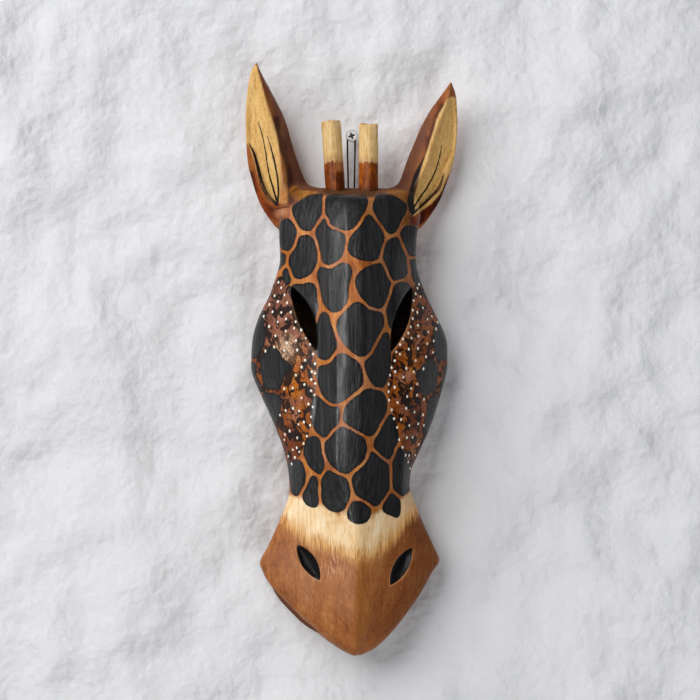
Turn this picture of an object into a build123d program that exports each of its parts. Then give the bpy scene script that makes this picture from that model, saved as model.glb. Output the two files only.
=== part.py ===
from build123d import *
import math
import os

# A wall-hung carved giraffe mask, in millimetres. The origin is on the wall plane, on the
# axis of the screw that carries it. +Z is up, +Y goes into the wall and the face looks
# along -Y. Depths below are distances in front of the wall, so a depth of 20 is y = -20.

# ---- driving dimensions ----------------------------------------------------------------
top_z = -46.0             # top of the head, between the ears
shelf_depth = 30.0        # the flat part of the top, from the wall forwards
brow_drop = 11.0          # how far the top slopes down to the front face
brow_depth = 74.0         # depth at which that slope has dropped by brow_drop

wall = 11.0               # thickness of the carved shell
hollow_top_z = -72.0      # ceiling of the hollow, under the solid crown
hollow_low_z = -410.0     # floor of the hollow, above the solid chin

left_ear_tip_z = 59.0
right_ear_tip_z = 42.5

horn_radius = 8.25
horn_depth = 38.0         # of both horn axes at their sockets
horn_seat_z = -50.0       # where each horn leaves the crown
horn_root = 17.0          # length of horn glued into its socket
socket_clearance = 0.1
left_horn_x, left_horn_top_z, left_horn_lean = -16.0, 9.7, 4.0
right_horn_x, right_horn_top_z, right_horn_lean = 11.8, 7.0, 0.0
horn_forward_lean = 3.0   # degrees

cord_diameter = 1.5
cord_depth = 8.0          # of the hanging loop, its hole and its knot
cord_hole_radius = 3.8
crown_under_z = -58.0     # underside of the crown over the knot's pocket
pocket_half_width = 11.0
pocket_depth = 18.0
knot_radius = 5.5
knot_drop = 5.7           # from the crown's underside to the knot's centre
tail_length = 11.0

thread_radius = 2.5
thread_length = 32.0
shank_radius = 1.9
screw_head_radius = 5.0
screw_head_height = 2.8
screw_standoff = 13.5     # depth of the screw head's face
screw_tip_length = 5.0

slit_width_in, slit_width_out = 7.4, 5.4   # of each eye slit, either side of its chord
slit_tip = (50.8, -131.0)                  # distance from its middle line, and z
slit_foot = (31.0, -185.5)
nostril_tip = (48.0, -349.0)
nostril_foot = (30.8, -379.5)
nostril_width_in, nostril_width_out = 5.5, 5.0
nostril_cut = 6.0                          # depth of each carved nostril

# The head's sections: z, half width, depth of the side edge, half width of the raised
# centre band, depth of the band's edge, depth of the centre ridge.
stations = [
    (-46.0, 50.0, 38.0, 28.0, 52.0, 66.0),
    (-57.0, 56.0, 40.0, 29.0, 56.0, 73.0),
    (-80.0, 60.0, 42.0, 30.0, 60.0, 78.0),
    (-100.0, 57.0, 42.0, 30.0, 63.0, 82.0),
    (-120.0, 61.0, 38.0, 30.0, 66.0, 85.0),
    (-150.0, 74.0, 30.0, 30.0, 68.0, 88.0),
    (-182.0, 84.0, 24.0, 30.0, 69.0, 89.0),
    (-215.0, 79.0, 24.0, 31.0, 67.0, 87.0),
    (-250.0, 64.0, 30.0, 33.0, 62.0, 82.0),
    (-283.0, 52.5, 34.0, 43.0, 50.0, 75.0),
    (-305.0, 52.0, 32.0, 40.0, 46.0, 69.0),
    (-335.0, 63.5, 29.0, 42.0, 43.0, 63.0),
    (-360.0, 76.0, 26.0, 46.0, 41.0, 60.0),
    (-380.0, 66.0, 28.0, 40.0, 41.0, 57.0),
    (-410.0, 45.0, 30.0, 26.0, 40.0, 52.0),
    (-430.0, 22.0, 31.0, 12.0, 37.0, 45.0),
    (-440.0, 8.0, 32.0, 4.0, 34.0, 38.0),
]
cheek_fullness = 0.4      # share of the cheek's fall in its inner half; 0.5 would be flat
middle_x = -2.0           # the outline's middle line, a hand carver's drift
ridge_x = 0.5             # the centre ridge
back_inset = 5.0          # the back rim is this much narrower than the widest line

# An ear's sections: height as a share of the ear, then |x| of outer edge, ridge, inner edge.
ear_stations = [
    (-0.29, 64.0, 50.0, 34.0),
    (-0.13, 76.5, 56.0, 33.0),
    (0.03, 83.5, 58.0, 36.0),
    (0.22, 87.7, 61.0, 45.5),
    (0.49, 88.7, 67.5, 55.0),
    (0.74, 87.7, 75.5, 67.0),
    (0.93, 86.3, 81.0, 78.0),
    (1.0, 84.5, 83.0, 82.0),
]
ear_back, ear_edge, ear_ridge = 6.0, 15.0, 31.0   # depths at the ear's foot
ear_forward_lean = 22.0                            # extra depth at the tip


# ---- the carved head -------------------------------------------------------------------
def station_at(z):
    """The section values at height z, in proportion between two stations."""
    for upper, lower in zip(stations, stations[1:]):
        if upper[0] >= z >= lower[0]:
            share = (upper[0] - z) / (upper[0] - lower[0])
            return tuple(a + (b - a) * share for a, b in zip(upper, lower))
    raise ValueError(f"no station at {z}")


def section(z, points):
    """A closed flat face at height z through (x, depth) points."""
    return make_face(Polyline(*[(x, -depth, z) for x, depth in points], close=True))


def mirrored(half_outline):
    """A closed outline about middle_x from its right half, which ends on the ridge."""
    right = [(middle_x + x, depth) for x, depth in half_outline[:-1]]
    left = [(middle_x - x, depth) for x, depth in reversed(half_outline[:-1])]
    return right + [(ridge_x, half_outline[-1][1])] + left


def cheek_point(half, edge, band, band_edge):
    """The full middle of the cheek, between the band's edge and the side edge."""
    return (half + band) / 2, band_edge - (band_edge - edge) * cheek_fullness


def outer_face(z):
    _, half, edge, band, band_edge, ridge = station_at(z)
    outline = [
        (max(half - back_inset, 3), 0),
        (half, edge),
        cheek_point(half, edge, band, band_edge),
        (band, band_edge),
        (0, ridge),
    ]
    return section(z, mirrored(outline))


def hollow_face(z):
    _, half, edge, band, band_edge, ridge = station_at(z)
    back = half - back_inset - wall
    outline = [
        (back, -1),
        (back + 2, edge - wall * 0.7),
        (band - wall * 0.4, band_edge - wall),
        (0, ridge - wall),
    ]
    return section(z, mirrored(outline))


def stacked(face_at, heights):
    return loft([face_at(z) for z in heights], ruled=True)


def block(x_low, x_high, depth_low, depth_high, z_low, z_high):
    size = (x_high - x_low, depth_high - depth_low, z_high - z_low)
    middle = ((x_low + x_high) / 2, -(depth_low + depth_high) / 2, (z_low + z_high) / 2)
    return Pos(*middle) * Box(*size)


def brow_wedge():
    """What the sloping top takes off the front of the crown."""
    reach = 120
    slope = brow_drop / (brow_depth - shelf_depth)
    front = brow_depth + 30
    side = [
        (0, -shelf_depth, top_z),
        (0, -front, top_z - slope * (front - shelf_depth)),
        (0, -front, top_z + 5),
        (0, -shelf_depth, top_z + 5),
    ]
    profile = make_face(Polyline(*side, close=True))
    return Pos(-reach / 2, 0, 0) * extrude(profile, amount=reach, dir=(1, 0, 0))


def ear(side, tip_z):
    """A roof-shaped ear blade that leans forward as it rises. side is -1 or 1."""
    faces = []
    for share, outer, ridge, inner in ear_stations:
        z = top_z + share * (tip_z - top_z)
        lean = ear_forward_lean * max(share, 0)
        thick = 1 - 0.7 * max(share, 0)
        outline = [
            (side * outer, lean + ear_edge * thick),
            (side * ridge, lean + ear_ridge * thick),
            (side * inner, lean + (ear_edge + 3) * thick),
            (side * (outer * 0.4 + inner * 0.6), lean + ear_back * thick),
        ]
        faces.append(section(z, outline))
    return loft(faces, ruled=True)


def leaf(tip, foot, bulge_in, bulge_out, side, near, far):
    """A two-arc leaf, seen from the front, cut between two depths."""
    start = Vector(side * tip[0], 0, tip[1])
    end = Vector(side * foot[0], 0, foot[1])
    along = (end - start).normalized()
    inwards = Vector(-side * abs(along.Z), 0, side * abs(along.X))
    middle = (start + end) / 2
    outline = [
        ThreePointArc(start, middle + inwards * bulge_in, end),
        ThreePointArc(end, middle - inwards * bulge_out, start),
    ]
    face = make_face(outline)
    return Pos(0, -near, 0) * extrude(face, amount=far - near, dir=(0, -1, 0))


def nostril(side):
    middle_z = (nostril_tip[1] + nostril_foot[1]) / 2
    middle_x = (nostril_tip[0] + nostril_foot[0]) / 2
    _, _, _, band, band_edge, ridge = station_at(middle_z)
    share = (ridge - band_edge) / band
    surface = ridge - share * min(middle_x, band)
    return leaf(nostril_tip, nostril_foot, nostril_width_in, nostril_width_out, side,
                surface - nostril_cut, 100)


def horn_place(x, lean):
    """Where a horn's axis leaves the crown; the horn's own axis is +Z there."""
    return Pos(x, -horn_depth, horn_seat_z) * Rot(horn_forward_lean, -lean, 0)


def horn_socket(x, lean):
    radius = horn_radius + socket_clearance
    depth = horn_root + socket_clearance
    bore = Pos(0, 0, -depth) * Cylinder(
        radius, depth + 20, align=(Align.CENTER, Align.CENTER, Align.MIN))
    return horn_place(x, lean) * bore


def carved_head():
    heights = [row[0] for row in stations]
    head = stacked(outer_face, heights) - brow_wedge()
    head += ear(-1, left_ear_tip_z)
    head += ear(1, right_ear_tip_z)
    inside = [hollow_top_z] + [z for z in heights if hollow_low_z < z < hollow_top_z]
    head -= stacked(hollow_face, inside + [hollow_low_z])
    head -= block(-pocket_half_width, pocket_half_width, -1, pocket_depth,
                  hollow_top_z - 4, crown_under_z)
    head -= Pos(0, -cord_depth, top_z - 10) * Cylinder(cord_hole_radius, 40)
    head -= horn_socket(left_horn_x, left_horn_lean)
    head -= horn_socket(right_horn_x, right_horn_lean)
    for side in (-1, 1):
        slit = leaf(slit_tip, slit_foot, slit_width_in, slit_width_out, side, -1, 100)
        head -= Pos(middle_x, 0, 0) * slit
        head -= nostril(side)
    return head


def horn(x, lean, top):
    """A round peg with a softened end, leaning a little outwards and forwards."""
    length = horn_root + top - horn_seat_z
    peg = Pos(0, 0, -horn_root) * Cylinder(
        horn_radius, length, align=(Align.CENTER, Align.CENTER, Align.MIN))
    peg = fillet(peg.edges().sort_by(Axis.Z)[-1], 2.0)
    return horn_place(x, lean) * peg


# ---- the cord --------------------------------------------------------------------------
loop_corner = 3.4         # |x| of the loop's two upper corners, round the shank
loop_top = 2.95           # z of the cord's centre line over the shank
loop_radius = 3.2         # the bend of the cord over the screw
leg_foot = 2.3            # |x| of each leg where it enters the knot
knot_z = crown_under_z - knot_drop
leg_end_z = knot_z + 3.0
cord_route = [
    (-leg_foot, -cord_depth, leg_end_z),
    (-loop_corner, -cord_depth, loop_top),
    (loop_corner, -cord_depth, loop_top),
    (leg_foot, -cord_depth, leg_end_z),
]


def cord_loop():
    path = FilletPolyline(*cord_route, radius=[loop_radius, loop_radius])
    profile = Plane(origin=path @ 0, z_dir=path % 0) * Circle(cord_diameter / 2)
    tube = sweep(profile, path=path)
    area = math.pi * (cord_diameter / 2) ** 2
    print("cord radii", loop_radius, loop_radius, "length", round(path.length, 2))
    print("cord volume", round(tube.volume, 2), "section x length", round(area * path.length, 2))
    return tube


def cord_knot():
    """The stopper knot under the crown, with the cord's two cut tails."""
    knot = Pos(0, -cord_depth, knot_z) * Sphere(knot_radius)
    for side in (-1, 1):
        tail = Pos(0, 0, -knot_radius + 1) * Cylinder(
            cord_diameter / 2, tail_length, align=(Align.CENTER, Align.CENTER, Align.MAX))
        knot += Pos(side * 1.2, -cord_depth, knot_z) * Rot(0, -side * 12, 0) * tail
    return knot


# ---- the screw -------------------------------------------------------------------------
def hanging_screw():
    """A countersunk wood screw along +Y: head, plain shank, thread envelope and point."""
    neck = -screw_standoff + screw_head_height
    rim = -screw_standoff + 0.5
    side = [
        (0, -screw_standoff),
        (screw_head_radius, -screw_standoff),
        (screw_head_radius, rim),
        (shank_radius, neck),
        (shank_radius, 0),
        (thread_radius, 0),
        (thread_radius, thread_length),
        (0, thread_length + screw_tip_length),
    ]
    profile = make_face(Polyline(*[(x, y, 0) for x, y in side], close=True))
    screw = revolve(profile, axis=Axis.Y)
    for turn in (20, 110):
        slot = Box(5.6, 2.0, 0.9)
        screw -= Rot(0, turn, 0) * Pos(0, -screw_standoff + 0.5, 0) * slot
    return screw


# ---- write every piece -----------------------------------------------------------------
pieces = {
    "carved_head": carved_head(),
    "left_horn": horn(left_horn_x, left_horn_lean, left_horn_top_z),
    "right_horn": horn(right_horn_x, right_horn_lean, right_horn_top_z),
    "cord_loop": cord_loop(),
    "cord_knot": cord_knot(),
    "hanging_screw": hanging_screw(),
}
os.makedirs("parts", exist_ok=True)
for name, piece in pieces.items():
    export_step(piece, f"parts/{name}.step")
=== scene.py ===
import math

import bpy
import numpy as np
from mathutils import Euler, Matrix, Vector
from mathutils.bvhtree import BVHTree


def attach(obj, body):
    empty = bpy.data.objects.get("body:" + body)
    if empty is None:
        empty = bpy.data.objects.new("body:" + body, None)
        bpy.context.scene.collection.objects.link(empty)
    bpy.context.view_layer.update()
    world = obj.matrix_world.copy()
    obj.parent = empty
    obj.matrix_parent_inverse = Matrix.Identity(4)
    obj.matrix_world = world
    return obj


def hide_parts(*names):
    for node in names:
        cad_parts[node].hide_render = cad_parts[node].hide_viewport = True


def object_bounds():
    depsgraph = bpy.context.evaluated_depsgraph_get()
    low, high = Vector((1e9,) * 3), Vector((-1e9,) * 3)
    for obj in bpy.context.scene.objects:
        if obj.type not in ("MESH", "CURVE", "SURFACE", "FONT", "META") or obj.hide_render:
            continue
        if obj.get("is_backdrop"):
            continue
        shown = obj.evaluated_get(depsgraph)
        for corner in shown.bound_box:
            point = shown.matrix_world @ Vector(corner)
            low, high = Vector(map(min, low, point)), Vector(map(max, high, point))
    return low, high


# A carved giraffe mask that hangs on a wall by a cord over a screw. Its sizes are in millimetres
# until a mesh is made, and "depth" is the distance in front of the wall, so y = -depth. The
# camera and the lights are placed in metres.

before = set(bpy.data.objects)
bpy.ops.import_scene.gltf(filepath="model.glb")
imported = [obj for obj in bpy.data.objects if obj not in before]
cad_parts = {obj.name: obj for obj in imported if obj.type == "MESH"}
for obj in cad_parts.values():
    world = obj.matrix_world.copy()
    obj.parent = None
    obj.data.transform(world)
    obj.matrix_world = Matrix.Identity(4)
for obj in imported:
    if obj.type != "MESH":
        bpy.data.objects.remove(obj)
cad_box = [list(corner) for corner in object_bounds()]
MM = 0.001


# ---- making things ---------------------------------------------------------------------
def link(obj):
    bpy.context.scene.collection.objects.link(obj)
    return obj


def point_at(obj, place, direction):
    """Put a camera or a light at a place, looking along a direction."""
    obj.location = place
    obj.rotation_mode = "QUATERNION"
    obj.rotation_quaternion = direction.to_track_quat("-Z", "Y")


def mesh_object(name, points, faces):
    """A smooth-shaded object from millimetre points in the frame's own axes."""
    mesh = bpy.data.meshes.new(name)
    mesh.from_pydata([tuple(p) for p in np.asarray(points) * MM], [], faces)
    mesh.polygons.foreach_set("use_smooth", np.ones(len(faces), bool))
    return link(bpy.data.objects.new(name, mesh))


def skin(rings, sides, closed=False):
    """The quads between rings that each have the same number of points."""
    faces = []
    for n in range(rings if closed else rings - 1):
        here, there = n * sides, (n + 1) % rings * sides
        faces += [(here + k, here + (k + 1) % sides, there + (k + 1) % sides, there + k)
                  for k in range(sides)]
    return faces


def give(mesh, name, values):
    """Keep a number, or three, at each vertex, for a material to read."""
    values = np.asarray(values, np.float32)
    kind = "FLOAT_VECTOR" if values.ndim == 2 else "FLOAT"
    attribute = mesh.attributes.new(name, kind, "POINT")
    attribute.data.foreach_set("vector" if values.ndim == 2 else "value", values.ravel())


# ---- the camera ------------------------------------------------------------------------
yaw, pitch = math.radians(5.0), math.radians(3.0)   # it stands to the left and looks up
slant, rise = math.tan(yaw), math.tan(pitch)        # how far depth moves a point in view
camera_distance, view_width = 3.5, 0.5893
aim = Vector((-0.0037, -0.038, -0.1836))
line_of_sight = Vector((math.sin(yaw) * math.cos(pitch),
                        math.cos(yaw) * math.cos(pitch), math.sin(pitch)))
eye = aim - line_of_sight * camera_distance

camera = link(bpy.data.objects.new("camera", bpy.data.cameras.new("camera")))
camera.data.lens = camera.data.sensor_width * camera_distance / view_width
point_at(camera, eye, line_of_sight)
bpy.context.scene.camera = camera


# ---- the cord --------------------------------------------------------------------------
cord_diameter = 1.5
cord_depth = 8.0
loop_corner, loop_top = 3.4, 2.95
leg_foot, leg_end = 2.3, -60.7
leg_top, near_screw = 3.3, -6.0         # on each leg, a little below the bend

# From the hole in the crown up one leg, over the screw, and down the other leg.
cord_route = [
    (-leg_foot, -cord_depth, leg_end),
    (-leg_top, -cord_depth, near_screw),
    (-loop_corner, -cord_depth, loop_top),
    (loop_corner, -cord_depth, loop_top),
    (leg_top, -cord_depth, near_screw),
    (leg_foot, -cord_depth, leg_end),
]


def laid_tube(points, radius, closed=False):
    """Points and faces of a twisted three-strand cord that follows the points, all in mm."""
    sides, lay, core = 14, 3.4, 0.86        # the strands turn once round in each lay
    points = np.asarray(points, float)
    ahead = np.roll(points, -1, 0) - np.roll(points, 1, 0)
    if not closed:
        ahead[0], ahead[-1] = points[1] - points[0], points[-1] - points[-2]
    ahead /= np.linalg.norm(ahead, axis=1)[:, None]
    first = np.cross(ahead[0], [0.3, 1.0, 0.2])
    along, travelled, rings = first / np.linalg.norm(first), 0.0, []
    theta = np.arange(sides) / sides * math.tau
    for n, (point, way) in enumerate(zip(points, ahead)):
        along = along - way * np.dot(along, way)
        along /= np.linalg.norm(along)
        other = np.cross(way, along)
        travelled += np.linalg.norm(point - points[n - 1]) if n else 0.0
        strand = np.abs(np.cos(1.5 * (theta - travelled / lay * math.tau)))
        reach = radius * (core + (1 - core) * strand)
        rings.append(point + reach[:, None] * (np.cos(theta)[:, None] * along
                                               + np.sin(theta)[:, None] * other))
    faces = skin(len(rings), sides, closed)
    if not closed:
        last = (len(rings) - 1) * sides
        faces += [tuple(range(sides))[::-1], tuple(range(last, last + sides))]
    return np.vstack(rings), faces


knot_z, tail_length, tail_lean = -63.7, 11.0, 12.0


def make_knot():
    """The cord wound over itself, with its two cut tails."""
    points, faces = [], []
    windings, turns_over = 3, 4 / 3

    def add(line, closed):
        tube, quads = laid_tube(line, cord_diameter / 2, closed)
        faces.extend([[len(points) + n for n in face] for face in quads])
        points.extend(tube)

    for start, wide, thick in ((0.0, 2.75, 1.75), (math.pi, 2.0, 1.25)):
        turn = np.linspace(0, math.tau * windings, 150, endpoint=False)
        reach = wide + thick * np.cos(turn * turns_over + start)
        add(np.stack([reach * np.cos(turn),
                      -cord_depth + 1.5 * thick * np.sin(turn * turns_over + start),
                      knot_z + reach * np.sin(turn)], 1), True)
    for side in (-1, 1):
        share = np.linspace(0, 1, 40)
        drop = share * (tail_length + 2.5)
        add(np.stack([side * (1.2 + math.tan(math.radians(tail_lean)) * drop),
                      -cord_depth + 0.7 * np.sin(share * 4 + side),
                      knot_z - 3.0 - drop], 1), False)
    knot = mesh_object("knot_and_tails", points, faces)
    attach(knot, "hanging_cord")
    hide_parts("cord_knot")
    return knot


def make_cord():
    curve = bpy.data.curves.new("hanging_cord_line", "CURVE")
    curve.dimensions = "3D"
    curve.resolution_u = 80
    spline = curve.splines.new("NURBS")
    spline.points.add(len(cord_route) - 1)
    for point, place in zip(spline.points, cord_route):
        point.co = (*[value * MM for value in place], 1.0)
    spline.order_u = 3
    spline.use_endpoint_u = True
    drawn = bpy.data.objects.new("hanging_cord_line", curve)
    line = [vertex.co.copy() for vertex in bpy.data.meshes.new_from_object(drawn).vertices]
    bpy.data.objects.remove(drawn)
    cord = mesh_object("black_cord", *laid_tube(np.array(line) / MM, cord_diameter / 2))
    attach(cord, "hanging_cord")
    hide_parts("cord_loop")
    return cord


knot = make_knot()
cord = make_cord()


# ---- field helpers ---------------------------------------------------------------------
def smooth_max(a, b, width):
    """The larger of two values, rounded off where they are closer than a width."""
    overlap = np.maximum(width - np.abs(a - b), 0) / width
    return np.maximum(a, b) + overlap * overlap * width / 4


def smooth_min(a, b, width):
    return -smooth_max(-a, -b, width)


def smooth_step(low, high, value):
    t = np.clip((value - low) / (high - low), 0, 1)
    return t * t * (3 - 2 * t)


def blurred(line, spread):
    """A line of evenly spaced values, softened over about `spread` samples."""
    reach = int(3 * spread) + 1
    kernel = np.exp(-0.5 * (np.arange(-reach, reach + 1) / spread) ** 2)
    padded = np.concatenate([np.full(reach, line[0]), line, np.full(reach, line[-1])])
    return np.convolve(padded, kernel / kernel.sum(), "valid")


def rounded(points, steps=6, closed=False):
    """A Catmull-Rom curve through the points."""
    points = np.asarray(points, float)
    if closed:
        around = np.vstack([points[-1], points, points[:2]])
    else:
        around = np.vstack([2 * points[0] - points[1], points, 2 * points[-1] - points[-2]])
    made = []
    for p0, p1, p2, p3 in zip(around, around[1:], around[2:], around[3:]):
        for t in np.arange(steps) / steps:
            made.append(0.5 * (2 * p1 + (p2 - p0) * t + (2 * p0 - 5 * p1 + 4 * p2 - p3) * t**2
                               + (3 * p1 - p0 - 3 * p2 + p3) * t**3))
    if not closed:
        made.append(points[-1])
    return np.array(made)


def along_piece(x, z, start, end):
    """How far along a straight piece each point lies, from 0 to 1, and how far away from it."""
    ex, ez = end[0] - start[0], end[1] - start[1]
    dx, dz = x - start[0], z - start[1]
    t = np.clip((dx * ex + dz * ez) / (ex * ex + ez * ez + 1e-12), 0, 1)
    return t, np.hypot(dx - t * ex, dz - t * ez)


def polygon_distance(x, z, polygon):
    """Signed distance to a closed polygon, negative inside."""
    x, z = np.asarray(x, float), np.asarray(z, float)
    best = np.full(x.shape, 1e9)
    inside = np.zeros(x.shape, bool)
    for (ax, az), (bx, bz) in zip(polygon, np.roll(polygon, -1, axis=0)):
        best = np.minimum(best, along_piece(x, z, (ax, az), (bx, bz))[1])
        inside ^= ((az > z) != (bz > z)) & (x < (bx - ax) * (z - az) / (bz - az + 1e-12) + ax)
    return np.where(inside, -best, best)


def curve_distance(x, z, points):
    """Distance to an open curve through the points."""
    line = rounded(points)
    return np.minimum.reduce([along_piece(x, z, *ends)[1] for ends in zip(line, line[1:])])


def lattice_noise(x, z, size_x, size_z, seed):
    """Soft noise from -1 to 1, with lumps of about size_x by size_z."""
    rng = np.random.default_rng(seed)
    table = rng.uniform(-1, 1, (256, 256))
    gx, gz = np.asarray(x) / size_x + 1000, np.asarray(z) / size_z + 1000
    ix, iz = np.floor(gx).astype(int), np.floor(gz).astype(int)
    fx, fz = gx - ix, gz - iz
    fx, fz = fx * fx * (3 - 2 * fx), fz * fz * (3 - 2 * fz)
    corner = lambda i, j: table[(ix + i) % 256, (iz + j) % 256]
    low = corner(0, 0) * (1 - fx) + corner(1, 0) * fx
    high = corner(0, 1) * (1 - fx) + corner(1, 1) * fx
    return low * (1 - fz) + high * fz


# ---- the head's form -------------------------------------------------------------------
# z, depth of the side edge, half width of the centre band, depth of the band's edge, depth of
# the centre ridge: the same sections as the CAD part.
stations = np.array([
    (-46, 38, 28, 52, 66), (-57, 40, 29, 56, 73),
    (-80, 42, 30, 60, 78), (-100, 42, 30, 63, 82),
    (-120, 38, 30, 66, 85), (-150, 30, 30, 68, 88),
    (-182, 24, 30, 69, 89), (-215, 24, 31, 67, 87),
    (-250, 30, 33, 62, 82), (-283, 34, 43, 50, 75),
    (-305, 32, 40, 46, 69), (-335, 29, 42, 43, 63),
    (-360, 26, 46, 41, 60), (-380, 28, 40, 41, 57),
    (-410, 30, 26, 40, 52), (-430, 31, 12, 37, 45),
    (-440, 32, 4, 34, 38),
])
middle_x = -2.0
# The carved outline, which is not quite even: z, and x of the left and of the right edge.
edges = np.array([
    (-30, -48, 45), (-46, -52, 48), (-57, -58, 53.5), (-70, -62, 55.5),
    (-88, -62.9, 52.4), (-108, -62, 52.2), (-118, -64.2, 54.4), (-128, -67.4, 58),
    (-138, -71, 62.5), (-148, -76.4, 67.6), (-158, -80.6, 73.1), (-168, -83.6, 78),
    (-178, -85.3, 80.6), (-198, -85.9, 80.8), (-208, -83.4, 78.6), (-228, -74.6, 72.6),
    (-249, -65.3, 65), (-269, -58, 55.9), (-284, -54.9, 49), (-299, -53.8, 47.4),
    (-309, -55, 50.8), (-329, -62.8, 59.3), (-349, -71.8, 68.7), (-361, -78.2, 73.5),
    (-370, -75.8, 67.4), (-390, -65.6, 56), (-410, -47.6, 41.6), (-420, -35.8, 33.2),
    (-430, -20, 23.5), (-436, -9, 16), (-440.5, 1, 6),
])
rounding = 1.3            # what the rounded edges take off the outline
ridge_x, snout_ridge_x = 1.5, 0.5
# Left of the nose's ridge: a nearly flat facet, then a gently tilted one.
flat_width, flat_tilt = 9.5, 0.05
facet_width, facet_more, facet_tilt = 19.0, 7.0, 0.24     # it is wider above the eyes
ridge_rounding = 2.0
back_inset = 5.0
# The side wall that shows at the lower left: its width, how far its back is set in, its ends.
flare, flare_inset, flare_top, flare_low = 4.8, 2.6, -372.0, -433.0
wall = 11.0
top_z, shelf_depth, brow_drop, brow_depth = -46.0, 30.0, 11.0, 74.0
hollow_top, hollow_low = -72.0, -410.0
crown_under, pocket_half, pocket_depth = -58.0, 11.0, 18.0
cord_hole_radius = 3.8

# Each leaf-shaped cut: its tip, its foot, and how far it bulges inwards and outwards.
slits = [((-53.8, -131.0), (-34.6, -185.5), 7.9, 4.8), ((47.4, -131.5), (28.4, -186.0), 6.6, 5.9)]
nostrils = [((-48.6, -347.0), (-29.6, -377.5), 6.6, 6.0), ((48.6, -349.5), (29.6, -381.5), 6.6, 6.2)]

left_ear_outer = [
    (-83.4, 60.6), (-87.8, 52.1), (-90.2, 36), (-91.2, 14), (-90.2, -8),
    (-88.4, -25.3), (-85.1, -37.5), (-81.4, -49.4), (-75.9, -62.2), (-65.9, -76.7),
]
left_ear_inner = [
    (-81.6, 60.2), (-74.2, 45.5), (-66.8, 31.9), (-59.5, 17.2), (-55, 5.4),
    (-50.5, -10.2), (-45.9, -23.6), (-41.2, -35.4), (-36.7, -43), (-27.8, -46.6),
]
left_ear_crest = [
    (-82.4, 60), (-80.6, 49.5), (-76.9, 33.5), (-72.8, 15.4), (-68, 0.7),
    (-64.6, -10.2), (-61, -28), (-59, -46), (-57, -64), (-50, -80),
]
right_ear_outer = [
    (84, 45.6), (87.8, 37.5), (89.2, 29), (89.9, 8), (88, -14.8),
    (85, -28.7), (80.6, -41.3), (75, -55.2), (65.5, -69.9), (59.5, -77.5),
]
right_ear_inner = [
    (81.6, 44.6), (74.1, 33.6), (65.5, 21.2), (58.7, 8.3), (53.5, -4.3),
    (49.2, -14.8), (44.9, -27), (41, -38), (36.2, -43.9), (31.2, -46.6),
]
right_ear_crest = [
    (82.6, 44), (80.8, 32.7), (77, 22.1), (72.7, 11.6), (68.5, -1.8),
    (65.1, -14), (60.5, -27.9), (54, -41.4), (48, -54.9), (44, -80),
]
# The scooped, pale faces of the ears.
left_scoop = [
    (-82.4, 58), (-87, 44), (-90.5, 20), (-90, -8), (-86.2, -15),
    (-82.5, -28), (-78, -41), (-72.5, -51.5), (-66, -60), (-62.4, -58),
    (-61.2, -48), (-61.9, -32), (-64.6, -10.2), (-68, 0.7), (-73.2, 15.4),
    (-77.4, 33.5), (-81, 49.5),
]
right_scoop = [
    (83, 36), (86.5, 29), (89, 8), (87.5, -14), (81.5, -26),
    (76.8, -38), (70.5, -50), (62.5, -60), (53, -67.5), (48, -68),
    (48.5, -56), (54.5, -40.5), (61.5, -26), (65.5, -12), (69, 0),
    (74, 14), (79, 26),
]
ear_back, ear_edge, ear_crest = 7.0, 15.0, 31.0      # depths of an ear at its foot
ear_lean, ear_thinning = 22.0, 0.62     # how far the tip comes forward, and how much it thins
scoop_foot, scoop_tip = 5.5, 0.8        # how deep the scooped face is cut
edge_round, hollow_round, cut_round = 5.0, 12.0, 1.6
nostril_steepness, nostril_depth, nostril_round = 1.15, 3.4, 3.0


def smooth_profile(table, column, spread):
    """A column of a table, whose rows go down the head, as a smooth function of z."""
    step = 0.5
    heights = np.arange(-450.0, -30.0, step)
    rising = table[::-1]
    soft = blurred(np.interp(heights, rising[:, 0], rising[:, column]), spread / step)
    return lambda z: np.interp(z, heights, soft)


edge_depth, band_half, band_depth, ridge_depth = (
    smooth_profile(stations, column, 8.0) for column in (1, 2, 3, 4))
left_edge, right_edge = (smooth_profile(edges, column, 3.0) for column in (1, 2))


def leaf_distance(x, z, tip, foot, bulge_in, bulge_out):
    """Signed distance to a two-arc leaf, which bulges towards the middle and away from it."""
    tip, foot = np.array(tip), np.array(foot)
    middle, chord = (tip + foot) / 2, foot - tip
    half = np.linalg.norm(chord) / 2
    along = chord / (2 * half)
    inwards = np.array([along[1], -along[0]]) * np.sign(tip[0] * along[1]) * -1
    arcs = []
    for bulge, direction in ((bulge_in, inwards), (bulge_out, -inwards)):
        radius = (half * half + bulge * bulge) / (2 * bulge)
        centre = middle + direction * (bulge - radius)
        arcs.append(np.hypot(x - centre[0], z - centre[1]) - radius)
    return np.maximum(*arcs)


def nearest_leaf(x, z, leaves):
    """Signed distance to the nearer of two leaves, negative inside."""
    return np.minimum(*[leaf_distance(x, z, *leaf) for leaf in leaves])


def head_outline():
    """The carved outline as one closed polygon, without what the rounded edges take off."""
    corners = rounded(edges, 3)
    right = [(x + rounding, z) for z, _, x in corners[::-1]]
    left = [(x - rounding, z) for z, x, _ in corners]
    return np.array(right + left)


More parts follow.
